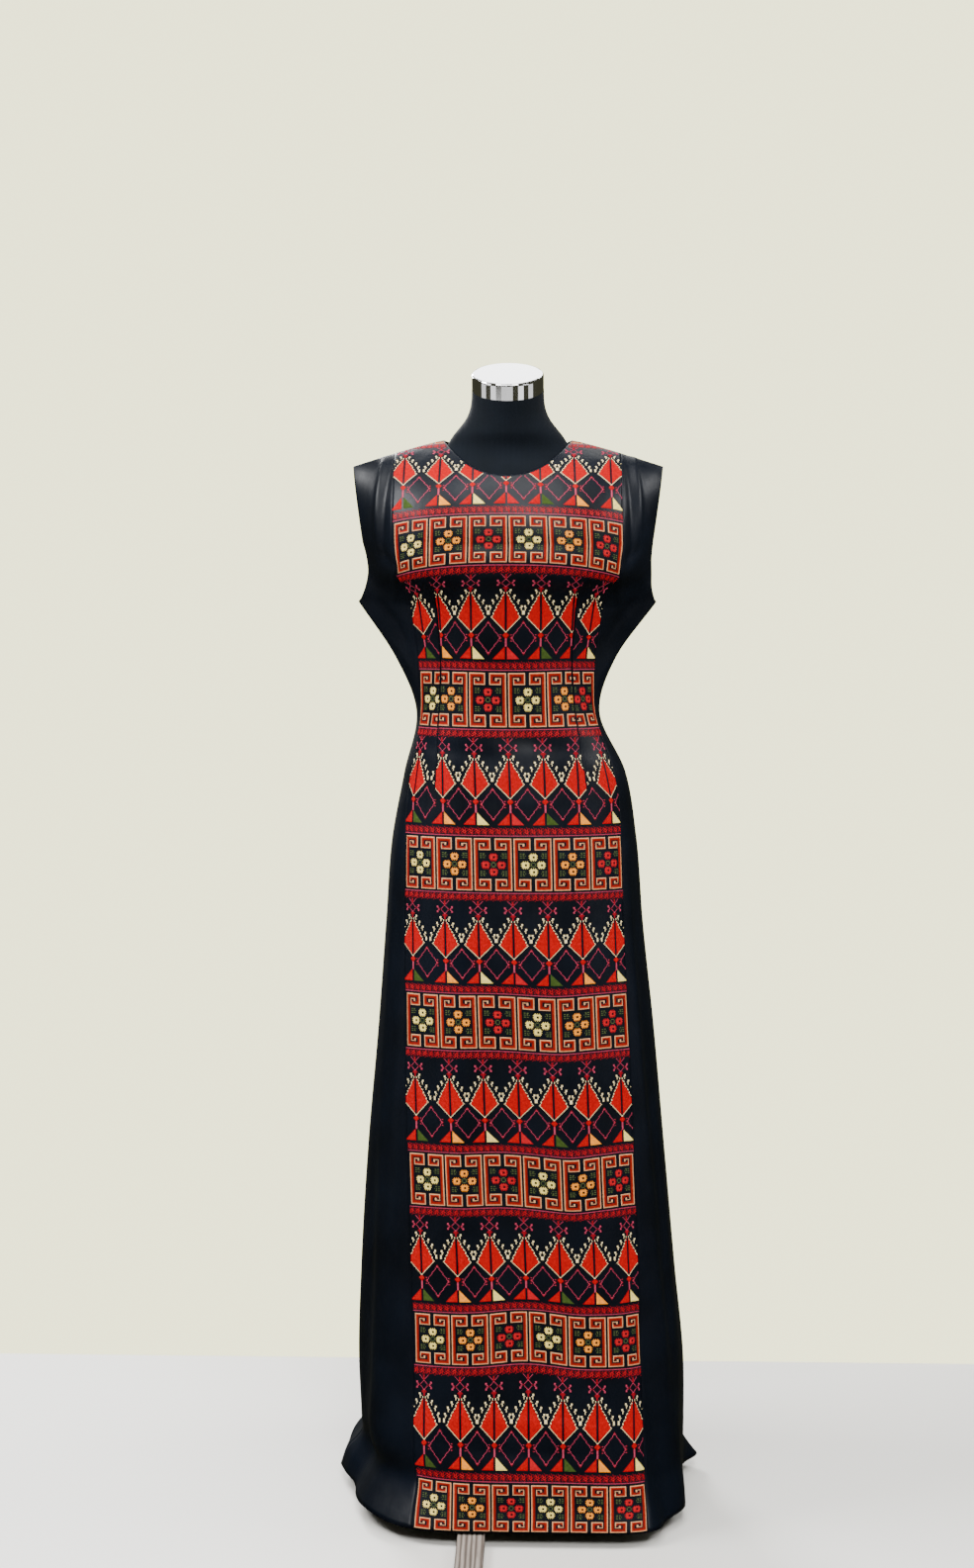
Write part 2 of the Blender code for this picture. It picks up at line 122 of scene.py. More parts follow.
# square: 2 is an ellipse and more is boxier. wing: 0.5 is a round side, and more is a flat pointed one.
# chamfer adds to the left front's wing where the hem is spread. armhole is half the armhole's gap.
SKIRT = (
    #     height    left   right  seam_y front_y  back_y  sq_l  sq_r  wing  cham panel_x armhole
    Level(0.021, -0.2455, 0.2560, 0.045, -0.199, 0.272, 6.00, 9.00, 0.50, 0.60, 0.0360, 0),
    Level(0.048, -0.2360, 0.2570, 0.038, -0.190, 0.262, 4.50, 7.00, 0.50, 0.50, 0.0360, 0),
    Level(0.078, -0.2130, 0.2565, 0.032, -0.184, 0.256, 3.30, 5.40, 0.50, 0.20, 0.0355, 0),
    Level(0.110, -0.2125, 0.2565, 0.028, -0.179, 0.251, 3.10, 4.80, 0.50, 0.00, 0.0350, 0),
    Level(0.200, -0.2150, 0.2550, 0.020, -0.166, 0.240, 2.80, 4.00, 0.50, 0.00, 0.0340, 0),
    Level(0.340, -0.2100, 0.2410, 0.010, -0.152, 0.222, 2.60, 3.40, 0.50, 0.00, 0.0310, 0),
    Level(0.520, -0.1985, 0.2240, 0.005, -0.144, 0.200, 2.50, 3.00, 0.50, 0.00, 0.0235, 0),
    Level(0.700, -0.1820, 0.2070, 0.000, -0.137, 0.178, 2.40, 2.70, 0.50, 0.00, 0.0165, 0),
    Level(0.850, -0.1705, 0.1905, 0.000, -0.128, 0.158, 2.30, 2.40, 0.50, 0.00, 0.0115, 0),
    Level(0.970, -0.1610, 0.1805, 0.000, -0.116, 0.141, 2.30, 2.30, 0.50, 0.00, 0.0085, 0),
    Level(1.060, -0.1440, 0.1650, 0.000, -0.104, 0.115, 2.20, 2.20, 0.50, 0.00, 0.0055, 0),
    Level(1.150, -0.1270, 0.1275, 0.000, -0.092, 0.085, 2.10, 2.10, 0.55, 0.00, 0.0010, 0),
    Level(1.220, -0.1545, 0.1490, 0.000, -0.095, 0.089, 2.10, 2.10, 1.10, 0.00, 0.0000, 0),
    Level(1.300, -0.2075, 0.2060, 0.000, -0.107, 0.103, 2.50, 2.50, 1.70, 0.00, 0.0000, 0),
)
CHEST_LEVELS = (
    SKIRT[-1],
    Level(1.320, -0.1985, 0.2005, 0.000, -0.115, 0.106, 2.90, 2.90, 1.45, 0.00, 0.0000, 0.009),
    Level(1.342, -0.1930, 0.1990, 0.001, -0.129, 0.109, 3.50, 3.50, 1.10, 0.00, 0.0010, 0.016),
    Level(1.362, -0.1945, 0.1985, 0.002, -0.132, 0.111, 3.60, 3.60, 0.95, 0.00, 0.0020, 0.020),
    Level(1.385, -0.2000, 0.2005, 0.003, -0.128, 0.112, 3.50, 3.50, 0.90, 0.00, 0.0025, 0.023),
)


class Fold(NamedTuple):
    """One soft upright fold of the skirt. place runs from -1 at the left seam to 1 at the right one."""

    place: float
    width: float
    depth: float
    top: float
    bottom: float


FRONT_FOLDS = (
    #     place width  depth   top   bottom
    Fold(-0.84, 0.08, -0.012, 0.75, 0.06),
    Fold(-0.62, 0.09, 0.007, 0.95, 0.10),
    Fold(0.52, 0.06, -0.008, 1.00, 0.02),
    Fold(0.66, 0.08, 0.009, 0.80, 0.02),
    Fold(0.86, 0.07, -0.007, 0.60, 0.06),
)
BACK_FOLDS = (
    Fold(-0.78, 0.09, 0.012, 0.80, 0.02),
    Fold(-0.50, 0.10, -0.016, 0.90, 0.02),
    Fold(-0.20, 0.11, 0.014, 0.70, 0.02),
    Fold(0.10, 0.10, -0.014, 0.95, 0.02),
    Fold(0.38, 0.09, 0.015, 0.85, 0.02),
    Fold(0.64, 0.08, -0.012, 0.75, 0.02),
    Fold(0.86, 0.08, 0.044, 0.075, 0.02),
)
FOLD_SWELL = 1.4
SEAM_HOLD = 8  # power of the distance to a side seam at which folds and creases die away
CREASE_RUN_IN = 0.03
CREASE_FADE = 0.8


class Crease(NamedTuple):
    """A soft crease from one point of the cloth to another, as distance from the middle and height."""

    start_u: float
    start_z: float
    end_u: float
    end_z: float
    bow: float
    width: float
    depth: float


FRONT_CREASES = (
    #      start_u start_z  end_u end_z   bow    width  depth
    Crease(-0.185, 0.98, -0.255, 0.10, 0.010, 0.014, 0.0035),
    Crease(-0.205, 0.80, -0.290, 0.06, -0.006, 0.018, -0.0045),
    Crease(0.178, 0.99, 0.215, 0.40, 0.012, 0.012, 0.0040),
    Crease(0.195, 0.72, 0.230, 0.05, -0.010, 0.016, -0.0045),
    Crease(0.235, 0.60, 0.300, 0.04, 0.012, 0.020, 0.0050),
    Crease(-0.160, 1.24, -0.225, 1.31, 0.006, 0.010, -0.0030),
    Crease(-0.150, 1.20, -0.240, 1.28, 0.004, 0.009, 0.0030),
    Crease(0.160, 1.24, 0.228, 1.32, -0.006, 0.010, -0.0030),
    Crease(0.150, 1.19, 0.236, 1.27, -0.004, 0.009, 0.0030),
    Crease(-0.172, 1.50, -0.190, 1.36, 0.005, 0.007, -0.0034),
    Crease(-0.188, 1.50, -0.206, 1.39, 0.003, 0.006, 0.0026),
    Crease(-0.166, 1.44, -0.176, 1.30, -0.004, 0.007, 0.0026),
    Crease(0.174, 1.50, 0.186, 1.35, -0.005, 0.007, -0.0034),
    Crease(0.190, 1.50, 0.206, 1.40, -0.003, 0.006, 0.0026),
    Crease(0.166, 1.43, 0.178, 1.29, 0.004, 0.007, 0.0028),
    Crease(0.160, 1.36, 0.212, 1.38, 0.004, 0.008, -0.0030),
    Crease(-0.158, 1.35, -0.212, 1.37, 0.004, 0.008, -0.0030),
    Crease(-0.120, 0.175, 0.130, 0.150, -0.006, 0.012, 0.0022),
    Crease(-0.150, 0.140, 0.090, 0.128, 0.006, 0.010, -0.0020),
    Crease(-0.130, 1.105, 0.000, 1.085, -0.004, 0.012, -0.0018),
    Crease(0.010, 1.120, 0.135, 1.095, 0.004, 0.012, -0.0018),
    Crease(-0.090, 1.300, -0.050, 1.215, 0.004, 0.014, -0.0020),
    Crease(0.085, 1.298, 0.055, 1.220, -0.004, 0.014, -0.0020),
    Crease(-0.060, 0.960, -0.085, 0.420, 0.008, 0.022, 0.0024),
    Crease(0.062, 0.880, 0.066, 0.140, -0.006, 0.020, 0.0030),
)
BACK_CREASES = (
    Crease(-0.120, 1.03, -0.230, 0.20, 0.010, 0.014, 0.0060),
    Crease(-0.165, 0.92, -0.275, 0.04, -0.012, 0.016, -0.0070),
    Crease(-0.085, 1.02, -0.140, 0.05, 0.016, 0.015, -0.0065),
    Crease(0.020, 1.05, 0.055, 0.08, -0.014, 0.016, -0.0075),
    Crease(0.062, 1.00, 0.110, 0.04, 0.012, 0.014, 0.0060),
    Crease(0.120, 1.04, 0.215, 0.12, 0.014, 0.014, 0.0065),
    Crease(0.160, 0.96, 0.285, 0.04, -0.010, 0.016, -0.0070),
    Crease(-0.035, 0.98, -0.070, 0.04, 0.012, 0.016, 0.0070),
    Crease(-0.130, 1.175, -0.010, 1.130, 0.008, 0.009, -0.0045),
    Crease(0.000, 1.150, 0.135, 1.185, 0.008, 0.009, -0.0045),
    Crease(-0.110, 1.120, 0.070, 1.100, -0.006, 0.009, 0.0038),
    Crease(-0.060, 1.210, 0.110, 1.155, -0.008, 0.010, 0.0035),
    Crease(-0.080, 1.40, -0.165, 1.20, 0.010, 0.013, -0.0045),
    Crease(-0.045, 1.34, -0.110, 1.17, -0.008, 0.012, 0.0036),
    Crease(0.090, 1.39, 0.170, 1.22, -0.010, 0.013, -0.0045),
    Crease(0.050, 1.31, 0.105, 1.17, 0.008, 0.012, 0.0036),
    Crease(-0.150, 1.21, -0.235, 1.29, 0.004, 0.009, 0.0034),
    Crease(0.150, 1.21, 0.235, 1.29, -0.004, 0.009, 0.0034),
    Crease(-0.175, 1.50, -0.120, 1.36, 0.008, 0.010, -0.0030),
    Crease(0.180, 1.50, 0.125, 1.37, -0.008, 0.010, -0.0030),
    Crease(-0.090, 1.475, 0.085, 1.470, -0.014, 0.011, -0.0028),
)


def smooth_table(rows: tuple[NamedTuple, ...], heights: np.ndarray) -> list[NamedTuple]:
    """Reads a table of named rows at any height, along a cubic through its rows.

    Args:
        rows: Rows in rising order of their first column, the height.
        heights: Where to read the table.

    Returns:
        One row of the same kind for each height.
    """
    table = np.array(rows, float)
    known = table[:, 0]
    slopes = np.gradient(table, known, axis=0)
    heights = np.clip(heights, known[0], known[-1])
    low = np.clip(np.searchsorted(known, heights, side="right") - 1, 0, len(known) - 2)
    span = (known[low + 1] - known[low])[:, None]
    t = ((heights - known[low]) / span[:, 0])[:, None]
    rise = t * t * (3 - 2 * t)
    values = table[low] + (table[low + 1] - table[low]) * rise
    values += span * (t * (1 - t) ** 2 * slopes[low] - t * t * (1 - t) * slopes[low + 1])
    return [type(rows[0])(*row) for row in values]


def around(grid: np.ndarray) -> tuple[np.ndarray, ...]:
    """The corners of a grid's cells, one array for each corner, in order round the cell."""
    return grid[:-1, :-1], grid[:-1, 1:], grid[1:, 1:], grid[1:, :-1]


def flanked(middle: np.ndarray, outer: np.ndarray) -> np.ndarray:
    """A row's middle values, with its outer values to the right and their mirror image to the left."""
    return np.concatenate([-outer[::-1], middle, outer])


class Side(Enum):
    """The front of the dress or its back, as the sign of Y."""

    FRONT = -1
    BACK = 1


@dataclass
class Cloth:
    """A lattice of points on the outer face of the dress, row by row from the hem up."""

    side: Side
    points: np.ndarray
    normals: np.ndarray
    flat: np.ndarray
    chest_row: int

    def part(self, start: int, stop: int) -> Cloth:
        """The columns from start to stop, both included."""
        cut = slice(start, stop + 1)
        return Cloth(self.side, self.points[:, cut], self.normals[:, cut], self.flat[cut], self.chest_row)


@dataclass
class Tailor:
    """Works out the dress's two halves from its tables."""

    skirt_heights: np.ndarray = field(init=False)
    chest_heights: np.ndarray = field(init=False)

    def __post_init__(self) -> None:
        """Spaces the rows evenly over the skirt and the chest."""
        rows = round((UNDERARM - HEM) / SKIRT_STEP)
        self.skirt_heights = np.linspace(HEM, UNDERARM, rows + 1)
        rows = round((CHEST - UNDERARM) / CHEST_STEP)
        self.chest_heights = np.linspace(UNDERARM, CHEST, rows + 1)[1:]

    def outline(self, level: Level, side: Side) -> np.ndarray:
        """The plan curve of one half at one level, from the left seam to the right one."""
        u = np.sin(np.linspace(-math.pi / 2, math.pi / 2, CURVE_SAMPLES))
        reach = np.where(u < 0, level.panel_x - level.left, level.right - level.panel_x)
        start = level.seam_y + side.value * max(level.armhole, SEAM_GAP / 2)
        if side is Side.FRONT:
            square = np.where(u < 0, level.square_left, level.square_right)
            wing = level.wing + np.where(u < 0, level.chamfer, 0)
            y = start + (level.front_y - start) * (1 - np.abs(u) ** square) ** wing
        else:
            y = start + (level.back_y - start) * (1 - np.abs(u) ** SQUARE_BACK) ** level.wing
        return np.stack([level.panel_x + u * reach, y], axis=1)

    def dart(self, height: float | np.ndarray) -> np.ndarray:
        """How much cloth a waist dart takes in at a height, in metres."""
        return DART_TAKE * np.interp(height, DART_HEIGHTS, DART_SHARES)

    def sewn(self, flat: np.ndarray, height: float) -> np.ndarray:
        """Where points of the flat front panel lie across it once its darts are sewn."""
        take = self.dart(height)
        inside = np.clip(np.abs(flat) - (DART_MIDDLE - take / 2), 0, take)
        return np.sign(flat) * (np.abs(flat) - inside * (1 - DART_LEFT_OVER))

    def shoulder_height(self, x: np.ndarray) -> np.ndarray:
        """Height of the shoulder line, and of the line it would follow on across the neck."""
        out = np.abs(x) - NECK_POINT_X
        run = SHOULDER_TIP_X - NECK_POINT_X
        fall = SHOULDER_DROP * (np.maximum(out, 0) / run) ** SHOULDER_SLOPE
        return NECK_POINT_HEIGHT - fall + NECK_RISE * np.maximum(-out, 0)

    def top_edge(self, x: np.ndarray, neck_drop: float) -> np.ndarray:
        """Height of the cloth's top edge: the shoulder seam, with the neckline cut into it."""
        inside = np.minimum(np.abs(x) / NECK_POINT_X, 1)
        neckline = NECK_POINT_HEIGHT - neck_drop * (1 - inside**NECK_ROUNDNESS)
        return np.where(inside < 1, neckline, self.shoulder_height(x))

    def shoulder_rows(self, chest: np.ndarray, top_x: np.ndarray, side: Side) -> list[np.ndarray]:
        """The rows from the chest's row over to the shoulder seam and the neckline.

        Args:
            chest: Points of the chest's row.
            top_x: Where each column ends on the shoulder line.
            side: Front or back.

        Returns:
            One array of points for each row.
        """
        drop = FRONT_NECK_DROP if side is Side.FRONT else BACK_NECK_DROP
        seam_y = SHOULDER_Y + side.value * SEAM_GAP / 2
        rise = self.shoulder_height(top_x) - CHEST
        end = np.arcsin(np.clip((self.top_edge(top_x, drop) - CHEST) / rise, 0, 1))
        rows = []
        for step in range(1, SHOULDER_STEPS + 1):
            turn = end * step / SHOULDER_STEPS
            x = chest[:, 0] + (top_x - chest[:, 0]) * np.sin(turn) / np.sin(end)
            y = seam_y + (chest[:, 1] - seam_y) * np.maximum(np.cos(turn), 0) ** SHOULDER_FALL
            rows.append(np.stack([x, y, CHEST + rise * np.sin(turn)], axis=1))
        return rows

    def outward(self, points: np.ndarray, side: Side, seams: bool) -> np.ndarray:
        """Unit normals of a lattice, facing out of the dress, and shared at its seams."""
        normal = np.cross(np.gradient(points, axis=1), np.gradient(points, axis=0))
        normal *= -side.value
        if seams:
            sewn = points[:, 0, 2] <= UNDERARM
            normal[sewn, 0] = (-1, 0, 0)
            normal[sewn, -1] = (1, 0, 0)
            normal[-1, np.abs(points[-1, :, 0]) >= NECK_POINT_X, 1] = 0
        return normal / np.linalg.norm(normal, axis=2, keepdims=True)

    def fold_push(self, side: Side, places: np.ndarray, height: float) -> np.ndarray:
        """How far the skirt's folds push the cloth out at one height."""
        push = np.zeros(len(places))
        for fold in FRONT_FOLDS if side is Side.FRONT else BACK_FOLDS:
            depth = np.clip((fold.top - height) / (fold.top - fold.bottom), 0, 1) ** FOLD_SWELL
            push += fold.depth * depth * np.exp(-(((places - fold.place) / fold.width) ** 2))
        return push * (1 - places**SEAM_HOLD)

    def crease_push(self, side: Side, u: np.ndarray, z: np.ndarray) -> np.ndarray:
        """How far the creases push the cloth out at points given by distance from the middle and height."""
        push = np.zeros(u.shape)
        for crease in FRONT_CREASES if side is Side.FRONT else BACK_CREASES:
            run = np.array([crease.end_u - crease.start_u, crease.end_z - crease.start_z])
            length = np.hypot(*run)
            du, dz = u - crease.start_u, z - crease.start_z
            along = (du * run[0] + dz * run[1]) / length**2
            across = (du * run[1] - dz * run[0]) / length
            t = np.clip(along, 0, 1)
            bent = across - crease.bow * np.sin(math.pi * t)
            inner = np.clip(along * (1 - 2 * CREASE_RUN_IN) + CREASE_RUN_IN, 0, 1)
            fade = np.sin(math.pi * inner) ** CREASE_FADE
            push += crease.depth * fade * np.exp(-((bent / crease.width) ** 2))
        return push

    def dart_pull(self, flat: np.ndarray, height: float) -> np.ndarray:
        """How far the darts' seams draw the cloth in at one height."""
        take = self.dart(height)
        tuck = 1 - np.abs(np.abs(flat) - DART_MIDDLE) / (take / 2 + DART_EDGE)
        return DART_PINCH * np.clip(tuck, 0, 1) * (take / DART_TAKE)

    def level_row(self, level: Level, side: Side) -> tuple[np.ndarray, np.ndarray, np.ndarray]:
        """Lays one row of the lattice along the outline at one level.

        Args:
            level: The outline at that height.
            side: Front or back.

        Returns:
            Points, how far toward the side seam each lies, and its distance along the cloth from the middle.
        """
        curve = self.outline(level, side)
        length = np.concatenate([[0], np.cumsum(np.linalg.norm(np.diff(curve, axis=0), axis=1))])
        length -= np.interp(level.panel_x, curve[:, 0], length)
        if side is Side.FRONT:
            middle = self.sewn(PANEL_PLACES, level.height)
            left = middle[0] + (length[0] - middle[0]) * SIDE_SHARES[::-1]
            right = middle[-1] + (length[-1] - middle[-1]) * SIDE_SHARES
            where = np.concatenate([left, middle, right])
        else:
            where = np.linspace(length[0], length[-1], BACK_COLUMNS + 1)
        x, y = (np.interp(where, length, curve[:, axis]) for axis in range(2))
        points = np.stack([x, y, np.full(len(x), level.height)], axis=1)
        return points, where / np.where(where < 0, -length[0], length[-1]), where

    def half(self, side: Side) -> Cloth:
        """Builds the front or the back of the dress.

        Args:
            side: Front or back.

        Returns:
            The outer face of that half.
        """
        levels = smooth_table(SKIRT, self.skirt_heights) + smooth_table(CHEST_LEVELS, self.chest_heights)
        rows, places, spans = map(list, zip(*(self.level_row(level, side) for level in levels)))
        if side is Side.FRONT:
            shoulder = PANEL_TOP_X + (SHOULDER_TIP_X - PANEL_TOP_X) * SIDE_SHARES
            top_x = flanked(PANEL_PLACES * PANEL_TOP_X * 2 / PANEL_WIDTH, shoulder)
            flat = flanked(PANEL_PLACES, PANEL_WIDTH / 2 + SIDE_PANEL_WIDTH * SIDE_SHARES)
        else:
            flat = top_x = np.linspace(-SHOULDER_TIP_X, SHOULDER_TIP_X, BACK_COLUMNS + 1)
        chest_row = len(rows) - 1
        rows += self.shoulder_rows(rows[-1], top_x, side)
        spans += [spans[-1] + (row[:, 0] - rows[chest_row][:, 0]) for row in rows[chest_row + 1 :]]
        points = np.array(rows)
        push = self.crease_push(side, np.array(spans), points[:, :, 2])
        for row, (place, level) in enumerate(zip(places, levels)):
            seam = np.clip((UNDERARM + SEAM_FADE - level.height) / SEAM_FADE, 0, 1)
            push[row] *= 1 - seam * place**SEAM_HOLD
            push[row] += self.fold_push(side, place, level.height)
            if side is Side.FRONT:
                push[row] -= self.dart_pull(flat, level.height)
        points = points + (push + WALL)[:, :, None] * self.outward(points, side, seams=True)
        return Cloth(side, points, self.outward(points, side, seams=False), flat, chest_row)


# The chart. One cell is one cross. A dot is bare satin.
CELLS_ACROSS = 242
REPEAT = 163
SQUARE_PITCH = 40
KITE_AXES = (-109, -70, -35, 0, 35, 70, 109)
SQUARE_ROWS = 53
PLAIN_CELL = 0.00134
BAND_DROOP = 0.020
DROOP_HEIGHTS = (0.030, 0.085, 0.140, 0.220, 1.225, 1.330, 1.352, 1.430, 1.500)
DROOP_SHARES = (0, 0.25, 0.25, 0.25, 0.20, 0.9, 1, 0.55, 0)
STITCH_HEIGHT = 0.00062
STITCH_SHOULDER = 0.00034
STITCH_ROOT = -0.00012
EDGE_MARGIN = 0.0022
HEM_MARGIN = EDGE_MARGIN / 8
DROOP_POWER = 2.6


class Band(NamedTuple):
    """One band of framed flowers at the middle of the panel: its centre's height, and how tall it is."""

    height: float
    tall: float


BANDS = (
    Band(0.0532, 0.0632),
    Band(0.2905, 0.0695),
    Band(0.5080, 0.0720),
    Band(0.7285, 0.0735),
    Band(0.9465, 0.0720),
    Band(1.1705, 0.0750),
    Band(1.3920, 0.0630),
)


class Sag(NamedTuple):
    """Where the stitched cloth hangs a little lower, or is drawn up if drop is negative."""

    across: float
    height: float
    wide: float
    tall: float
    drop: float


SAGS = (
    Sag(-0.003, 0.290, 0.055, 0.10, -0.0090),
    Sag(-0.030, 0.505, 0.045, 0.10, -0.0035),
    Sag(0.068, 0.505, 0.040, 0.10, 0.0045),
    Sag(-0.035, 0.726, 0.045, 0.10, -0.0015),
    Sag(0.055, 0.726, 0.045, 0.10, 0.0030),
)

# A quarter of a square: the key-shaped hook in its corner, from the outside in.
HOOK = (
    "CCCCCCCCCCCCCCCCC",
    "CaaaaaaaaaaaaaaaC",
    "CabbbbbbbbbbbbbaC",
    "CabbbbbbbbbbbbbaC",
    "Cabb.........bbaC",
    "Cabb.CCCCCC..bbaC",
    "Cabb.C...CC..bbaC",
    "Cabb.Cb..CC..bbaC",
    "Cabb.Cbb...bbbbaC",
    "Cabb.CabbbbbbbbaC",
    "Cabb.CaaaaaaaaaaC",
    "Cabb.CCCCCCCCCCCC",
    "Cabb",
)
BLOSSOM = (
    "..x.x.x..",
    ".xxxxxxx.",
    "xxxxxxxxx",
    ".xxx..xx.",
    "xxxx..xxx",
    ".xxxxxxx.",
    ".xxxxxxx.",
    "..x.x.x..",
)
SPRIG = (
    "gg.gg..",
    "...g...",
    "gg.g.g.",
    ".......",
    "gg.gg..",
)
HEART = (
    ".ggg.",
    "g...g",
    "g...g",
    "g...g",
    ".ggg.",
)
# Both borders, the row next to the squares first.
BORDER = (
    "ppppppp",
    "...r...",
    "r.rrr.r",
    ".eee..r",
    "ee.ee..",
    ".eee.rr",
    "ee.e..r",
    "r..rrr.",
    "..r....",
)
# Half of the star above each kite, from the middle out.
STAR = (
    "r...p",
    "r..p",
    "r.p",
    "rp",
    "r",
    "p",
    ".p.....pp",
    "..p....pp",
    "...p..pp",
    "....rrp",
    "...p..pp",
    "..p....pp",
    ".p.....pp",
    "p",
    "rr",
    "rrr",
    "rr",
    "r....c",
    "r....c",
    "r...c",
)
BORDER_GAP = 3
SPRIG_PLACE = (11, 13)
KITE_ROWS = (26, 14)
KITE_HALF_WIDTH = 15
KITE_APEX = 1.6
BEAD_ROWS = range(19, 23)
DIAMOND_PLACE = (45, 18)
DIAMOND_HALF = (15, 12)
DASHES = ((-3, 4), (3, 8), (8, 12), (14, 15))
KNOT_ROWS = 14
TRIANGLE_ROWS = 12
BLOSSOM_THREADS = "yoeyoe"
TRIANGLE_THREADS = "GoyeGoy"


class Thread(Enum):
    """The flosses, by their letter in the charts, with the colour of each."""

    CREAM = ("c", "#F6E2AC")
    BEIGE = ("C", "#D6A073")
    BRICK = ("b", "#7E140E")
    RUST = ("a", "#A8341C")
    CRIMSON = ("r", "#8C0E1C")
    ROSE = ("p", "#B23A56")
    SCARLET = ("R", "#AE000A")
    STRAW = ("y", "#F4DC78")
    AMBER = ("o", "#F69426")
    POPPY = ("e", "#B8141E")
    LEAF = ("g", "#566238")
    OLIVE = ("G", "#3A4C1E")


class Chart:
    """The whole front panel's chart, filled in motif by motif."""

    def __init__(self, lowest: int, highest: int) -> None:
        """Makes an empty chart.

        Args:
            lowest: First row, counted from the middle of the lowest band of squares.
            highest: Row past the last one.
        """
        self.lowest = lowest
        self.cells = np.full((highest - lowest, CELLS_ACROSS), ".", dtype="<U1")

    def put(self, row: int, column: int, letter: str) -> None:
        """Marks one cell, if it lies on the chart."""
        row -= self.lowest
        if letter != "." and 0 <= row < len(self.cells) and 0 <= column < CELLS_ACROSS:
            self.cells[row, column] = letter

    def stamp(self, motif: tuple[str, ...], row: int, column: int, down: int = -1, right: int = 1) -> None:
        """Marks a motif whose first cell is at row and column, turned by the signs down and right."""
        for i, line in enumerate(motif):
            for j, letter in enumerate(line):
                self.put(row + down * i, column + right * j, letter)

    def square(self, centre: int, column: int, letter: str) -> None:
        """One framed flower: two facing brackets with hooked ends, four blossoms and four sprigs.

        Args:
            centre: The middle row.
            column: The middle column.
            letter: The blossoms' thread.
        """
        half_rows = SQUARE_ROWS // 2
        for right, edge in ((1, column - SQUARE_PITCH // 2 + 1), (-1, column + SQUARE_PITCH // 2 - 2)):
            for down in (-1, 1):
                self.stamp(HOOK, centre - down * half_rows, edge, down, right)
                row = centre - down * SPRIG_PLACE[0]
                self.stamp(SPRIG, row, column - right * SPRIG_PLACE[1], down, right)
            for row in range(-half_rows + len(HOOK), half_rows - len(HOOK) + 1):
                self.stamp(HOOK[-1:], centre + row, edge, -1, right)
        blossom = tuple(line.replace("x", letter) for line in BLOSSOM)
        reach = len(BLOSSOM) // 2
        for row, across in ((8, 0), (-7, 0), (0, 8), (0, -8)):
            self.stamp(blossom, centre + row + reach - 1, column + across - reach)
        self.stamp(HEART, centre + 2, column - 2)

    def border(self, row: int, down: int) -> None:
        """One border, from its solid edge at a row outwards."""
        width = len(BORDER[0])
        for column in range(1, CELLS_ACROSS - 1, width):
            self.stamp(BORDER, row, column, down)

    def mirrored(self, row: int, axis: int, outward: int, letter: str) -> None:
        """Marks a cell and its mirror image about the line to the right of the axis column."""
        self.put(row, axis + outward, letter)
        self.put(row, axis + 1 - outward, letter)

    def kite(self, top: int, axis: int, letter: str) -> None:
        """A star, the kite that hangs from it, its knot, and the pair of triangles under it.

        Args:
            top: The star's first row.
            axis: The column to the left of the kite's middle line.
            letter: The thread of the right triangle.
        """
        for i, line in enumerate(STAR):
            for j, thread in enumerate(line):
                self.mirrored(top - i, axis, j + 1, thread)
        apex = top - len(STAR)
        upper, lower = KITE_ROWS
        for row in range(upper + lower):
            if row < upper:
                width = KITE_APEX + row * (KITE_HALF_WIDTH - KITE_APEX) / (upper - 1)
            else:
                width = KITE_HALF_WIDTH - (row - upper + 1) * (KITE_HALF_WIDTH - 1) / lower
            edge = max(1, round(width))
            for outward in range(2, edge):
                self.mirrored(apex - row, axis, outward, "R")
            if row >= upper or row % 3 != 2:
                self.mirrored(apex - row, axis, edge, "c")
        for start, out in DASHES:
            for step in range(5):
                self.mirrored(apex - start - step, axis, out + 1 + (step < 2), "c")
                if step < 3:
                    self.mirrored(apex - start - step, axis, out + (step < 2), "c")
        for row in BEAD_ROWS:
            for outward in (17, 18):
                self.mirrored(apex - row, axis, outward, "c")
        self.diamond(apex - DIAMOND_PLACE[0], axis + DIAMOND_PLACE[1])
        foot = apex - upper - lower
        for row, reach in enumerate((1, 2, 3, 3, 2, 1)):
            for outward in range(1, reach + 1):
                self.mirrored(foot - row, axis, outward, "R")
        for row in range(6, KNOT_ROWS):
            self.mirrored(foot - row, axis, 1, "p")
        base = foot - KNOT_ROWS
        for row in range(TRIANGLE_ROWS):
            for outward in range(2, 3 + row):
                self.put(base - row, axis + outward, letter)
                self.put(base - row, axis + 1 - outward, "R")

    def diamond(self, centre: int, middle: int) -> None:
        """The dotted outline of a dark diamond, with a cluster at each corner.

        Args:
            centre: The middle row.
            middle: The middle column.
        """
        half_rows, half_columns = DIAMOND_HALF
        for row in range(-half_rows, half_rows + 1):
            out = round(half_columns * (1 - abs(row) / half_rows))
            for column in (middle - out, middle + out):
                self.put(centre + row, column, "p")
        for row, column in ((half_rows, 0), (-half_rows, 0), (0, half_columns), (0, -half_columns)):
            for down, right in ((0, 1), (0, -1), (1, 0), (-1, 0)):
                self.put(centre + row + down, middle + column + right, "r")
        for sign in (1, -1):
            for row in (3, -3):
                self.put(centre + row, middle + sign * (half_columns + 1), "r")
                self.put(centre + row, middle + sign * half_columns, "p")

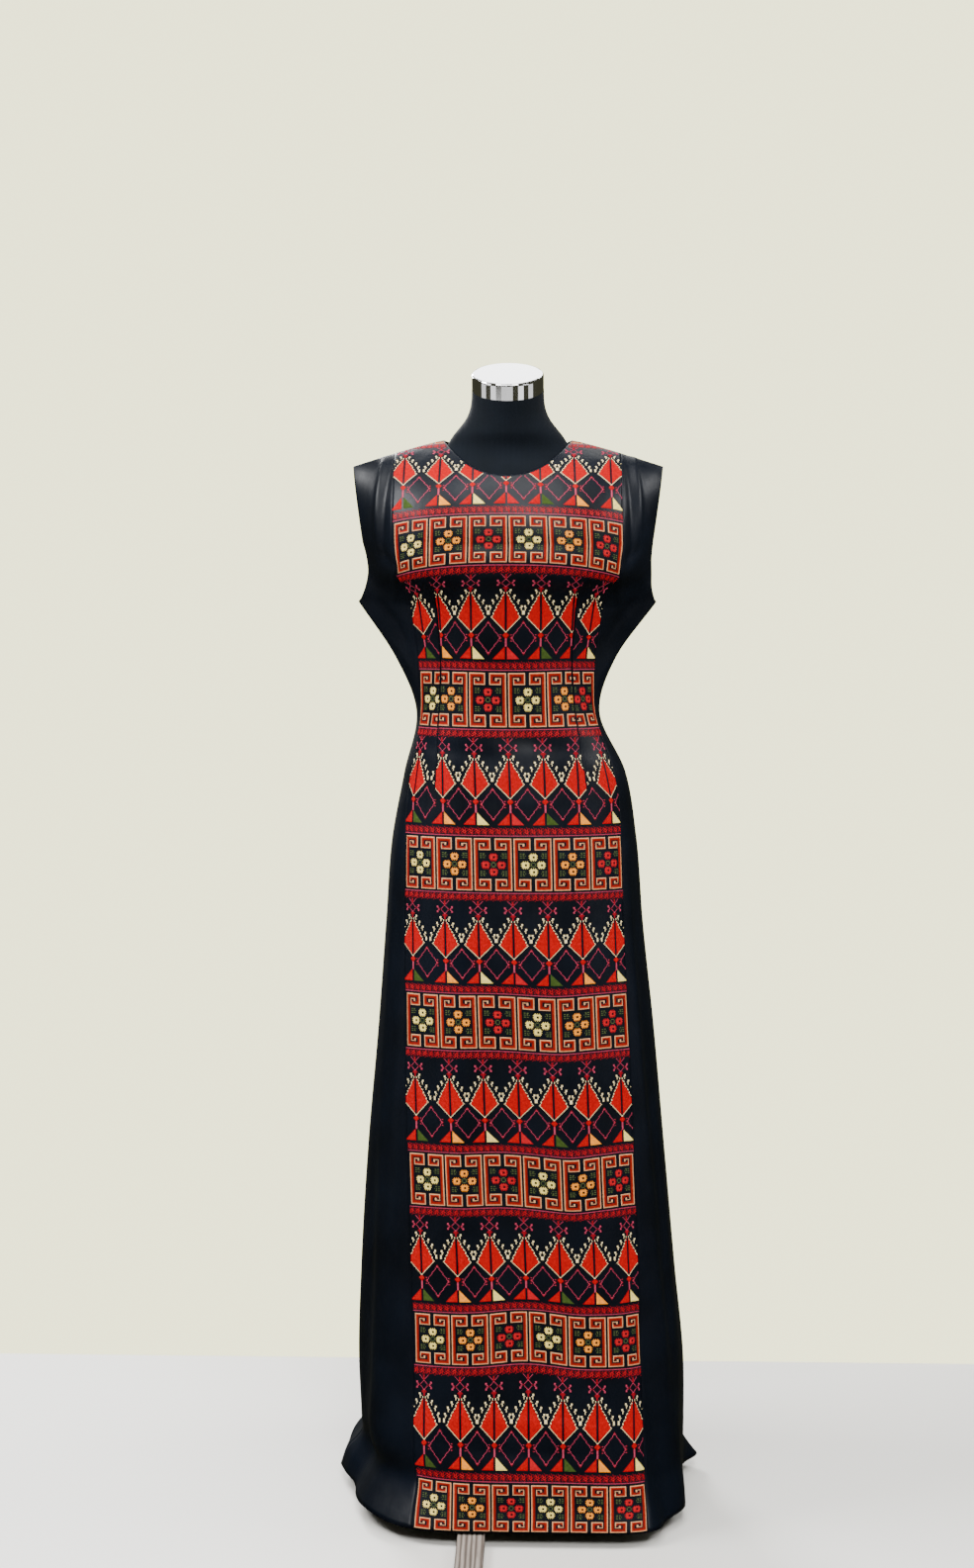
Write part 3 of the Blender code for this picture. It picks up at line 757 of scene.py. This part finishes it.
    def repeat(self, centre: int) -> None:
        """One whole repeat, from a band of squares up to the border under the next one."""
        half_rows = SQUARE_ROWS // 2
        for index, letter in enumerate(BLOSSOM_THREADS):
            self.square(centre, SQUARE_PITCH // 2 + 2 + index * SQUARE_PITCH, letter)
        edge = half_rows + BORDER_GAP
        self.border(centre - edge, -1)
        self.border(centre + edge, 1)
        top = centre - edge - len(BORDER)
        for index, letter in enumerate(TRIANGLE_THREADS):
            self.kite(top, CELLS_ACROSS // 2 - 1 + KITE_AXES[index], letter)


def linear(colour: str) -> tuple[float, float, float, float]:
    """Turns an sRGB hex colour to linear light."""
    parts = [int(colour[i : i + 2], 16) / 255 for i in (1, 3, 5)]
    return (*(c / 12.92 if c <= 0.04045 else ((c + 0.055) / 1.055) ** 2.4 for c in parts), 1.0)


# A wave texture draws a band every 1/20 of its unit, so this over a size in mm is the scale to give it.
BANDS_PER_MM = 1000 / 20


class Graph:
    """A material's nodes."""

    def __init__(self, name: str) -> None:
        """Starts a material that holds only a shader and its output."""
        self.material = bpy.data.materials.new(name)
        self.material.use_nodes = True
        self.tree = self.material.node_tree
        self.shader = self.tree.nodes["Principled BSDF"]

    def add(self, kind: str, inputs: dict | None = None, **settings) -> bpy.types.Node:
        """Adds a node with its settings, and sets or links its inputs.

        Args:
            kind: The node's type, without its ShaderNode prefix.
            inputs: A value or an output socket for each named or numbered input.
            settings: The node's own properties.

        Returns:
            The node.
        """
        node = self.tree.nodes.new("ShaderNode" + kind)
        for key, value in settings.items():
            setattr(node, key, value)
        self.feed(node, inputs or {})
        return node

    def feed(self, node: bpy.types.Node, inputs: dict) -> None:
        """Sets or links a node's inputs."""
        for key, value in inputs.items():
            socket = node.inputs[key]
            if isinstance(value, bpy.types.NodeSocket):
                self.tree.links.new(value, socket)
            else:
                socket.default_value = value

    def finish(self, colour: object, **inputs) -> bpy.types.Material:
        """Sets the shader's base colour and its other inputs, whose spaces are written as underscores."""
        named = {key.replace("_", " "): value for key, value in inputs.items()}
        self.feed(self.shader, {"Base Color": colour} | named)
        return self.material

    def place(self, scale: tuple | None = None, turn: tuple = (0, 0, 0)) -> bpy.types.NodeSocket:
        """The object's own coordinates, turned and then scaled along each axis if a scale is given."""
        place = self.add("TexCoord").outputs["Object"]
        if scale is None:
            return place
        return self.add("Mapping", {"Vector": place, "Rotation": turn, "Scale": scale}).outputs["Vector"]

    def noise(self, where: bpy.types.NodeSocket, scale: float, detail: float) -> bpy.types.NodeSocket:
        """A noise texture."""
        return self.add("TexNoise", {"Vector": where, "Scale": scale, "Detail": detail}).outputs["Fac"]

    def wave(
        self, where: bpy.types.NodeSocket, scale: float, distortion: float, detail: float, along: str
    ) -> bpy.types.NodeSocket:
        """A band texture."""
        inputs = {"Vector": where, "Scale": scale, "Distortion": distortion, "Detail": detail}
        return self.add("TexWave", inputs, bands_direction=along).outputs["Fac"]

    def bumps(self, *layers: tuple) -> bpy.types.NodeSocket:
        """Bumps laid over one another, each as its strength, its distance in metres and its height."""
        normal = None
        for strength, distance, height in layers:
            inputs = {"Strength": strength, "Distance": distance, "Height": height}
            if normal is not None:
                inputs["Normal"] = normal
            normal = self.add("Bump", inputs).outputs["Normal"]
        return normal

    def spread(self, source: bpy.types.NodeSocket, low: float, high: float) -> bpy.types.NodeSocket:
        """A value mapped from 0 to 1 onto low to high."""
        return self.add("MapRange", {"Value": source, "To Min": low, "To Max": high}).outputs["Result"]

    def ramp(self, source: bpy.types.NodeSocket, stops: dict[float, str]) -> bpy.types.NodeSocket:
        """A colour ramp over a source value, with a hex colour at each stop."""
        node = self.add("ValToRGB", {"Fac": source})
        elements = node.color_ramp.elements
        while len(elements) < len(stops):
            elements.new(0.5)
        for element, (place, colour) in zip(elements, sorted(stops.items())):
            element.position = place
            element.color = linear(colour)
        return node.outputs["Color"]


@dataclass(frozen=True)
class BlackSatin:
    """Polyester satin, warp-faced: long floats that lie flat and give a soft, blue-black sheen."""

    name: str = "polyester_satin"
    dark: str = "#02050C"
    light: str = "#050B16"
    roughness: float = 0.40
    thread_mm: float = 0.9  # real floats are 0.3 mm apart, and are drawn three times as coarse to show

    def make(self) -> bpy.types.Material:
        """Builds the material."""
        g = Graph(self.name)
        place = g.place()
        slub = g.noise(g.place((1, 1, 0.06)), 240.0, 3.0)
        cloud = g.noise(place, 12.0, 2.0)
        wrinkle = g.noise(g.place((1, 1, 0.22)), 26.0, 2.0)
        weave = g.wave(place, BANDS_PER_MM / self.thread_mm, 0.6, 1.0, "DIAGONAL")
        fine = (0.05, 0.0002, weave), (0.16, 0.0006, slub)
        normal = g.bumps(*fine, (0.5, 0.007, cloud), (0.3, 0.003, wrinkle))
        return g.finish(
            g.ramp(cloud, {0.3: self.dark, 0.75: self.light}),
            Roughness=g.spread(slub, self.roughness - 0.05, self.roughness + 0.08),
            Normal=normal,
            IOR=1.5,
            Specular_IOR_Level=0.16,
        )


@dataclass(frozen=True)
class CottonFloss:
    """Six-strand mercerised cotton, worked in crosses: a soft lustre, and darker between the strands."""

    name: str
    colour: str
    roughness: float = 0.7
    shade: float = 0.72

    def make(self) -> bpy.types.Material:
        """Builds the material."""
        g = Graph(self.name)
        place = g.add("UVMap", uv_map="cells").outputs["UV"]
        strands = g.wave(place, 0.9, 1.2, 1.0, "DIAGONAL")
        dye = g.noise(place, 0.35, 4.0)
        base = linear(self.colour)
        dark = (*(c * self.shade for c in base[:3]), 1.0)
        worn = g.add("MapRange", {"Value": dye, "From Min": 0.35, "From Max": 0.7}).outputs["Result"]
        colour = g.add("MixRGB", {"Fac": worn, "Color1": dark, "Color2": base}).outputs["Color"]
        normal = g.bumps((0.35, 0.0003, strands))
        return g.finish(colour, Roughness=self.roughness, Normal=normal, Specular_IOR_Level=0.05)


@dataclass(frozen=True)
class CottonJersey:
    """Fine cotton jersey stretched over the form: matt, with a faint rib of knitted loops."""

    name: str = "cotton_jersey"
    dark: str = "#02060B"
    light: str = "#060C14"
    loop_mm: float = 1.2  # real loops are 0.6 mm wide, and are drawn twice as coarse to show

    def make(self) -> bpy.types.Material:
        """Builds the material."""
        g = Graph(self.name)
        place = g.place()
        fuzz = g.noise(place, 900.0, 3.0)
        cloud = g.noise(place, 14.0, 3.0)
        rib = g.wave(place, BANDS_PER_MM / self.loop_mm, 0.4, 2.0, "X")
        return g.finish(
            g.ramp(cloud, {0.3: self.dark, 0.7: self.light}),
            Roughness=0.92,
            Normal=g.bumps((0.3, 0.0003, rib), (0.5, 0.0003, fuzz)),
            Specular_IOR_Level=0.1,
            Sheen_Weight=0.03,
            Sheen_Roughness=0.5,
        )


@dataclass(frozen=True)
class Metal:
    """A bare metal with marks along or around it."""

    name: str
    colour: str
    stretch: float
    marks: tuple[float, float]
    bump: float
    roughness: tuple[float, float]

    def make(self) -> bpy.types.Material:
        """Builds the material."""
        g = Graph(self.name)
        marks = g.noise(g.place((1, 1, self.stretch)), *self.marks)
        normal, gloss = g.bumps((self.bump, 0.0002, marks)), g.spread(marks, *self.roughness)
        return g.finish(linear(self.colour), Metallic=1.0, Roughness=gloss, Normal=normal)


@dataclass(frozen=True)
class Chrome(Metal):
    """Chromium plate on spun steel: a clear mirror with faint turning marks."""

    name: str = "chromium_plate"
    colour: str = "#E4E4E6"
    stretch: float = 60
    marks: tuple[float, float] = (30.0, 2.0)
    bump: float = 0.02
    roughness: tuple[float, float] = (0.05, 0.14)


@dataclass(frozen=True)
class DrawnSteel(Metal):
    """Drawn steel tube: satin, with fine marks along its length."""

    name: str = "drawn_steel"
    colour: str = "#B4B4B6"
    stretch: float = 0.02
    marks: tuple[float, float] = (700.0, 3.0)
    bump: float = 0.12
    roughness: tuple[float, float] = (0.26, 0.42)


@dataclass(frozen=True)
class WeatheredTimber:
    """Unvarnished softwood gone grey: streaked along the grain, dry and rough."""

    name: str
    grain: tuple[float, float, float]
    dark: str = "#4A423B"
    light: str = "#938A81"

    def make(self) -> bpy.types.Material:
        """Builds the material."""
        g = Graph(self.name)
        grain = g.place((1, 0.05, 1), self.grain)
        streak, ring = g.noise(grain, 420.0, 5.0), g.wave(grain, 44.0, 7.0, 4.0, "X")
        mixed = g.add("Math", {0: streak, 1: ring}, operation="MULTIPLY").outputs[0]
        colour = g.ramp(mixed, {0.0: self.dark, 0.55: self.light})
        return g.finish(colour, Roughness=0.78, Normal=g.bumps((0.5, 0.0006, mixed)))


def mesh_from(name: str, points: np.ndarray, faces: np.ndarray) -> bpy.types.Object:
    """A smooth mesh object from arrays of points and of faces with the same number of corners."""
    data = bpy.data.meshes.new(name)
    corners = faces.shape[1]
    data.vertices.add(len(points))
    data.vertices.foreach_set("co", points.astype(np.float32).ravel())
    data.loops.add(faces.size)
    data.loops.foreach_set("vertex_index", faces.astype(np.int32).ravel())
    data.polygons.add(len(faces))
    data.polygons.foreach_set("loop_start", np.arange(0, faces.size, corners, dtype=np.int32))
    data.update(calc_edges=True)
    data.shade_smooth()
    piece = bpy.data.objects.new(name, data)
    bpy.context.scene.collection.objects.link(piece)
    return piece


def select_only(piece: bpy.types.Object) -> None:
    """Makes a piece the only selected one, and the active one."""
    bpy.ops.object.select_all(action="DESELECT")
    piece.select_set(True)
    bpy.context.view_layer.objects.active = piece


def apply_all(piece: bpy.types.Object) -> None:
    """Applies a piece's modifiers, in order."""
    select_only(piece)
    for modifier in list(piece.modifiers):
        bpy.ops.object.modifier_apply(modifier=modifier.name)


@dataclass
class SatinPanel:
    """One cut piece of the dress, as a thin shell."""

    name: str
    node: str
    cloth: Cloth
    slot: str
    flat: tuple[float, float]
    area: float
    rests_on: tuple[str, ...] = ("jersey_torso",)

    def build(self, satin: bpy.types.Material) -> bpy.types.Object:
        rows, columns = self.cloth.points.shape[:2]
        index = np.arange(rows * columns).reshape(rows, columns)
        faces = np.stack(around(index), axis=-1).reshape(-1, 4)
        if self.cloth.side is Side.BACK:
            faces = faces[:, ::-1]
        piece = mesh_from(self.name, self.cloth.points.reshape(-1, 3), faces)
        piece.data.materials.append(satin)
        thick = piece.modifiers.new("thickness", "SOLIDIFY")
        thick.thickness = SATIN_THICKNESS
        thick.offset = -1
        thick.use_even_offset = False
        apply_all(piece)
        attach(piece, BODY)
        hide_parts(self.node)
        log.info("%s: %d faces", self.name, len(piece.data.polygons))
        return piece


@dataclass
class CrossStitch:
    """Lays the chart on the front panel as raised crosses, in one piece for each repeat."""

    panel: Cloth
    tailor: Tailor

    def spread(self) -> np.ndarray:
        """Distance up the cloth from the hem at each point of the panel, as the design was stitched on it."""
        points = self.panel.points
        steps = np.linalg.norm(np.diff(points, axis=0), axis=2)
        middle = points.shape[1] // 2
        up = np.concatenate([[0], np.cumsum(steps[:, middle])])
        spread = np.repeat(up[:, None], points.shape[1], axis=1)
        over = np.cumsum(steps[self.panel.chest_row :], axis=0)
        spread[self.panel.chest_row + 1 :] = up[self.panel.chest_row] + over
        share = (np.abs(self.panel.flat) / (PANEL_WIDTH / 2)) ** DROOP_POWER
        droop = np.interp(points[:, :, 2], DROOP_HEIGHTS, DROOP_SHARES)
        spread = spread + BAND_DROOP * droop * share[None]
        for sag in SAGS:
            across = (self.panel.flat[None] - sag.across) / sag.wide
            up = (points[:, :, 2] - sag.height) / sag.tall
            spread += sag.drop * np.exp(-(across**2) - up**2)
        return spread

    def row_places(self, spread: np.ndarray, rows: np.ndarray) -> np.ndarray:
        """How far up the cloth each row of the chart starts."""
        middle = self.panel.points.shape[1] // 2
        half = SQUARE_ROWS / 2
        known_rows, known_places = [], []
        for index, band in enumerate(BANDS):
            centre = np.interp(band.height, self.panel.points[:, middle, 2], spread[:, middle])
            known_rows += [index * REPEAT - half, index * REPEAT + half]
            known_places += [centre - band.tall / 2, centre + band.tall / 2]
        places = np.interp(rows, known_rows, known_places)
        above = rows > known_rows[-1]
        places[above] = known_places[-1] + (rows[above] - known_rows[-1]) * PLAIN_CELL
        below = rows < known_rows[0]
        places[below] = known_places[0] - (known_rows[0] - rows[below]) * PLAIN_CELL
        return places

    def corners(self, spread: np.ndarray, places: np.ndarray) -> tuple[np.ndarray, np.ndarray, np.ndarray]:
        """The cells' corners on the cloth.

        Args:
            spread: Distance up the cloth at each lattice point.
            places: How far up the cloth each row starts.

        Returns:
            Points, normals, and which corners lie on the cloth and outside the darts.
        """
        across = (np.arange(CELLS_ACROSS + 1) - CELLS_ACROSS / 2) * PANEL_WIDTH / CELLS_ACROSS
        place = np.interp(across, self.panel.flat, np.arange(len(self.panel.flat)))
        low = np.minimum(place.astype(int), len(self.panel.flat) - 2)
        part = (place - low)[None, :, None]
        grids = self.panel.points, self.panel.normals, spread[:, :, None]
        points, normals, up = (grid[:, low] * (1 - part) + grid[:, low + 1] * part for grid in grids)
        up = up[:, :, 0]
        where, facing = (np.empty((len(places), len(across), 3)) for _ in range(2))
        for out, known in ((where, points), (facing, normals)):
            for column, axis in np.ndindex(out.shape[1:]):
                out[:, column, axis] = np.interp(places, up[:, column], known[:, column, axis])
        facing /= np.linalg.norm(facing, axis=2, keepdims=True)
        on_cloth = (places[:, None] > up[0] + HEM_MARGIN) & (places[:, None] < up[-1] - EDGE_MARGIN)
        take = self.tailor.dart(where[:, :, 2])
        clear = np.abs(np.abs(across) - DART_MIDDLE)[None] >= take / 2
        return where, facing, on_cloth & (clear | (take == 0))

    def build(self, threads: dict[str, bpy.types.Material]) -> list[bpy.types.Object]:
        """Works every repeat of the chart.

        Args:
            threads: The floss for each letter of the chart.

        Returns:
            The stitched bands, from the hem up.
        """
        spread = self.spread()
        half = SQUARE_ROWS // 2
        highest = len(BANDS) * REPEAT
        chart = Chart(-half - 1, highest)
        for index in range(len(BANDS) + 1):
            chart.repeat(index * REPEAT)
        places = self.row_places(spread, np.arange(chart.lowest, highest + 1, dtype=float))
        where, facing, allowed = self.corners(spread, places)
        whole = np.logical_and.reduce(around(allowed))
        columns_out = np.abs(np.arange(CELLS_ACROSS + 1) - CELLS_ACROSS / 2)
        same_side = np.diff(np.sign(columns_out - DART_MIDDLE * CELLS_ACROSS / PANEL_WIDTH)) == 0
        whole &= same_side[None] | (self.tailor.dart(where[:-1, :-1, 2]) == 0)
        stitched = (chart.cells != ".") & whole
        inner = np.logical_and.reduce(around(np.pad(stitched, 1)))
        lift = np.where(inner, STITCH_SHOULDER, STITCH_ROOT)
        raised = where + facing * lift[:, :, None]
        middles = sum(around(where)) / 4 + facing[:-1, :-1] * STITCH_HEIGHT
        bands = []
        for index in range(len(BANDS) + 1):
            low = max(0, index * REPEAT - REPEAT // 2 - chart.lowest)
            high = min(len(stitched), (index + 1) * REPEAT - REPEAT // 2 - chart.lowest)
            rows, columns = np.nonzero(stitched[low:high])
            if len(rows):
                name = f"cross_stitch_band_{index + 1}"
                bands.append(self.band(name, rows + low, columns, raised, middles, chart, threads))
        return bands

    def band(
        self,
        name: str,
        rows: np.ndarray,
        columns: np.ndarray,
        raised: np.ndarray,
        middles: np.ndarray,
        chart: Chart,
        threads: dict[str, bpy.types.Material],
    ) -> bpy.types.Object:
        """Makes one band of crosses: four slopes a cross, up from its corners to where its strands cross."""
        height, width = raised.shape[:2]
        index = np.arange(height * width).reshape(height, width)
        grid = np.stack(around(index), axis=-1)[rows, columns]
        used, corner = np.unique(grid, return_inverse=True)
        corner = corner.reshape(grid.shape)
        points = np.concatenate([raised.reshape(-1, 3)[used], middles[rows, columns]])
        tip = len(used) + np.arange(len(rows))
        slopes = [np.stack([corner[:, k], corner[:, (k + 1) % 4], tip], axis=1) for k in range(4)]
        faces = np.stack(slopes, axis=1)
        piece = mesh_from(name, points, faces.reshape(-1, 3))
        letters = sorted(threads)
        for letter in letters:
            piece.data.materials.append(threads[letter])
        slots = np.searchsorted(letters, chart.cells[rows, columns])
        piece.data.polygons.foreach_set("material_index", np.repeat(slots, 4).astype(np.int32))
        across = np.concatenate([used % width, columns + 0.5])
        up = np.concatenate([used // width, rows + 0.5])
        layer = piece.data.uv_layers.new(name="cells")
        index = faces.reshape(-1)
        layer.data.foreach_set("uv", np.stack([across[index], up[index]], axis=1).astype(np.float32).ravel())
        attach(piece, BODY)
        log.info("%s: %d crosses", name, len(rows))
        return piece


class Girth(NamedTuple):
    """The dress form's outline at one height."""

    height: float
    half_width: float
    front: float
    back: float
    square: float


@dataclass
class DressForm:
    """The limbless torso, smooth under its jersey."""

    table: tuple[Girth, ...] = (
        Girth(0.860, 0.138, 0.094, 0.112, 2.2),
        Girth(0.900, 0.148, 0.102, 0.120, 2.2),
        Girth(0.960, 0.150, 0.104, 0.122, 2.2),
        Girth(1.040, 0.136, 0.094, 0.106, 2.2),
        Girth(1.150, 0.109, 0.078, 0.070, 2.1),
        Girth(1.230, 0.113, 0.079, 0.074, 2.1),
        Girth(1.300, 0.128, 0.088, 0.084, 2.2),
        Girth(1.345, 0.142, 0.113, 0.095, 2.5),
        Girth(1.385, 0.148, 0.112, 0.098, 2.4),
        Girth(1.430, 0.152, 0.104, 0.092, 2.1),
        Girth(1.465, 0.150, 0.086, 0.075, 1.9),
        Girth(1.485, 0.144, 0.072, 0.062, 1.7),
        Girth(1.500, 0.120, 0.059, 0.053, 1.6),
        Girth(1.512, 0.0895, 0.053, 0.049, 1.7),
        Girth(1.524, 0.0800, 0.052, 0.050, 1.8),
        Girth(1.532, 0.0745, 0.053, 0.052, 1.9),
        Girth(1.542, 0.0660, 0.052, 0.053, 2.0),
        Girth(1.552, 0.0585, 0.051, 0.052, 2.0),
        Girth(1.566, 0.0525, 0.050, 0.051, 2.0),
        Girth(1.580, 0.0503, 0.050, 0.050, 2.0),
        Girth(1.593, 0.0500, 0.0500, 0.0500, 2.0),
    )
    bottom: float = 0.862
    tilt: float = math.radians(19.0)
    tilt_start: float = 1.530
    sides: int = 96
    rows: int = 120

    def build(self, jersey: bpy.types.Material) -> bpy.types.Object:
        """Makes the torso in rings, closed at its flat ends."""
        top = self.table[-1].height
        heights = np.linspace(self.bottom, top, self.rows)
        turn = np.linspace(0, 2 * math.pi, self.sides, endpoint=False)
        rings = []
        for girth in smooth_table(self.table, heights):
            power = 2 / girth.square
            x = girth.half_width * np.copysign(np.abs(np.cos(turn)) ** power, np.cos(turn))
            y = np.copysign(np.abs(np.sin(turn)) ** power, np.sin(turn))
            y = y * np.where(y < 0, girth.front, girth.back)
            share = np.clip((girth.height - self.tilt_start) / (top - self.tilt_start), 0, 1)
            lean = self.tilt * share
            rings.append(np.stack([x, y * math.cos(lean), girth.height + y * math.sin(lean)], axis=1))
        index = np.arange(self.rows * self.sides).reshape(self.rows, self.sides)
        after = np.roll(index, -1, axis=1)
        faces = np.stack([index[:-1], after[:-1], after[1:], index[1:]], axis=-1).reshape(-1, 4)
        piece = mesh_from("jersey_torso", np.concatenate(rings), faces)
        select_only(piece)
        bpy.ops.object.mode_set(mode="EDIT")
        bpy.ops.mesh.select_all(action="SELECT")
        bpy.ops.mesh.fill_holes(sides=0)
        bpy.ops.mesh.normals_make_consistent(inside=False)
        bpy.ops.object.mode_set(mode="OBJECT")
        piece.data.set_sharp_from_angle(angle=math.radians(50))
        piece.data.materials.append(jersey)
        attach(piece, BODY)
        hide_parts("form_torso")
        log.info("jersey_torso: %d faces", len(piece.data.polygons))
        return piece


# Each light: its name, place, size, power in watts, and what it faces. None is straight up. The cap's
# side leans forward and so mirrors the floor, where the cap lights lie.
LIGHTS = (
    ("key_light", (0.5, -4.2, 4.4), (1.6, 1.6), 280, (0, 0, 0.9)),
    ("ceiling_light", (0.0, -1.1, 4.4), (2.4, 2.0), 165, (0, -0.8, 0)),
    ("left_light", (-2.4, -0.4, 3.3), (1.3, 1.3), 165, (-0.2, 0, 1.4)),
    ("right_light", (2.7, 0.0, 3.0), (1.2, 1.2), 75, (0.2, 0, 1.4)),
    ("left_strip", (-2.6, -1.4, 1.6), (0.2, 2.2), 4, (0, 0, 1.1)),
    ("right_strip", (2.6, -1.4, 1.6), (0.2, 2.2), 8, (0, 0, 1.1)),
    ("cap_light", (0.0, 2.7, 3.7), (2.2, 1.4), 55, (0, 0, 1.3)),
    ("cap_mirror_left", (-1.95, -1.6, 0.02), (1.7, 0.6), 5, None),
    ("cap_mirror_front", (0.05, -2.05, 0.02), (1.2, 0.6), 2.5, None),
    ("cap_mirror_right", (1.75, -1.65, 0.02), (0.9, 0.7), 4, None),
    ("cap_mirror_far_left", (-4.2, -0.1, 0.02), (2.4, 1.6), 14, None),
    ("cap_mirror_far_right", (4.2, -0.1, 0.02), (2.4, 1.6), 14, None),
    ("back_light", (-1.6, 3.6, 2.6), (1.2, 1.6), 260, (0, 0, 0.8)),
)


@dataclass
class Studio:
    """The floor, the lights and the camera."""

    eye: tuple[float, float, float] = (0.088, -3.72, 1.54)
    lens_mm: float = 61.12
    sensor_mm: float = 36.0
    pitch: float = math.radians(90 - 7.61)
    yaw: float = math.radians(1.80)
    floor_size: tuple[float, float] = (12.0, 8.0)
    floor_back: float = 0.557
    surround_light: float = 0.06
    surround_seen: float = 3.2

    def floor(self) -> None:
        """A wide pale floor that ends a little behind the dress."""
        bpy.ops.object.select_all(action="DESELECT")
        bpy.ops.mesh.primitive_plane_add(size=1)
        floor = bpy.context.object
        deep = self.floor_size[1]
        bpy.ops.transform.resize(value=(*self.floor_size, 1), center_override=(0, 0, 0))
        bpy.ops.transform.translate(value=(0, self.floor_back - deep / 2, 0))
        bpy.ops.object.transform_apply(location=True, scale=True)
        floor.name = "studio_floor"
        g = Graph("pale_floor")
        g.feed(g.shader, {"Base Color": linear("#DEDCD6"), "Roughness": 0.55})
        floor.data.materials.append(g.material)
        floor.visible_glossy = False

    def light(self, name: str, place: tuple, size: tuple[float, float], watts: float, aim: tuple) -> None:
        """A soft rectangular light that faces a point."""
        data = bpy.data.lights.new(name, "AREA")
        data.shape = "RECTANGLE"
        data.size, data.size_y = size
        data.energy = watts
        lamp = bpy.data.objects.new(name, data)
        bpy.context.scene.collection.objects.link(lamp)
        lamp.visible_camera = False
        lamp.location = place
        lamp.rotation_euler = (Vector(aim) - Vector(place)).to_track_quat("-Z", "Y").to_euler()

    def build(self) -> None:
        """Sets up the floor, the lights, an even surround and the camera."""
        self.floor()
        for name, place, size, watts, aim in LIGHTS:
            self.light(name, place, size, watts, aim or (*place[:2], 1))
        world = bpy.data.worlds.new("studio")
        world.use_nodes = True
        tree = world.node_tree
        background = tree.nodes["Background"]
        background.inputs["Color"].default_value = linear("#F2F0C2")
        seen = tree.nodes.new("ShaderNodeLightPath")
        level = tree.nodes.new("ShaderNodeMapRange")
        level.inputs["To Min"].default_value = self.surround_light
        level.inputs["To Max"].default_value = self.surround_seen
        tree.links.new(seen.outputs["Is Camera Ray"], level.inputs["Value"])
        tree.links.new(level.outputs["Result"], background.inputs["Strength"])
        bpy.context.scene.world = world
        data = bpy.data.cameras.new("camera")
        data.lens = self.lens_mm
        data.sensor_width = self.sensor_mm
        camera = bpy.data.objects.new("camera", data)
        bpy.context.scene.collection.objects.link(camera)
        camera.location = self.eye
        camera.rotation_euler = (self.pitch, 0, self.yaw)
        bpy.context.scene.camera = camera


class Stand:
    """The cap, collar, pole, hub and boards, which keep their own shapes and get their finishes."""

    timber_turns = {"stand_hub": 0, "stand_foot_front": 0, "stand_foot_right": 120, "stand_foot_left": 240}

    def dress(self, nodes: dict[str, bpy.types.Object]) -> None:
        """Gives each node its finish."""
        chrome, steel = Chrome().make(), DrawnSteel().make()
        finishes = {"neck_cap": chrome, "form_collar": steel, "stand_pole": steel}
        for node, turn in self.timber_turns.items():
            finishes[node] = WeatheredTimber(f"timber_{node}", (0, 0, -math.radians(turn))).make()
        for node, material in finishes.items():
            nodes[node].data.materials.clear()
            nodes[node].data.materials.append(material)
            log.info("%s: %s", node, material.name)


def main() -> None:
    """Builds the dress, its stitches, the form, the stand's finishes and the studio."""
    logging.basicConfig(level=logging.INFO, format="%(message)s")
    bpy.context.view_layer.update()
    bpy.ops.object.select_all(action="DESELECT")
    Studio().build()
    satin = BlackSatin().make()
    threads = {t.value[0]: CottonFloss(f"floss_{t.name.lower()}", t.value[1]).make() for t in Thread}
    tailor = Tailor()
    front, back = tailor.half(Side.FRONT), tailor.half(Side.BACK)
    last = front.points.shape[1] - 1
    stitched = front.part(SIDE_COLUMNS, last - SIDE_COLUMNS)
    panels = (
        SatinPanel("satin_front_panel", "front_embroidered_panel", stitched, "stitched_satin",
                   (PANEL_WIDTH, 1.56), 0.49),
        SatinPanel("satin_side_front_left", "front_side_panel_left", front.part(0, SIDE_COLUMNS),
                   "black_satin", (SIDE_PANEL_WIDTH, 1.56), 0.180),
        SatinPanel("satin_side_front_right", "front_side_panel_right", front.part(last - SIDE_COLUMNS, last),
                   "black_satin", (SIDE_PANEL_WIDTH, 1.56), 0.180),
        SatinPanel("satin_back", "back_panel", back, "black_satin", (0.76, 1.58), 0.95),
    )  # fmt: skip
    pieces = {panel.name: panel.build(satin) for panel in panels}
    bands = CrossStitch(stitched, tailor).build(threads)
    DressForm().build(CottonJersey().make())
    Stand().dress(frame["nodes"])


if __name__ == "__main__":
    main()
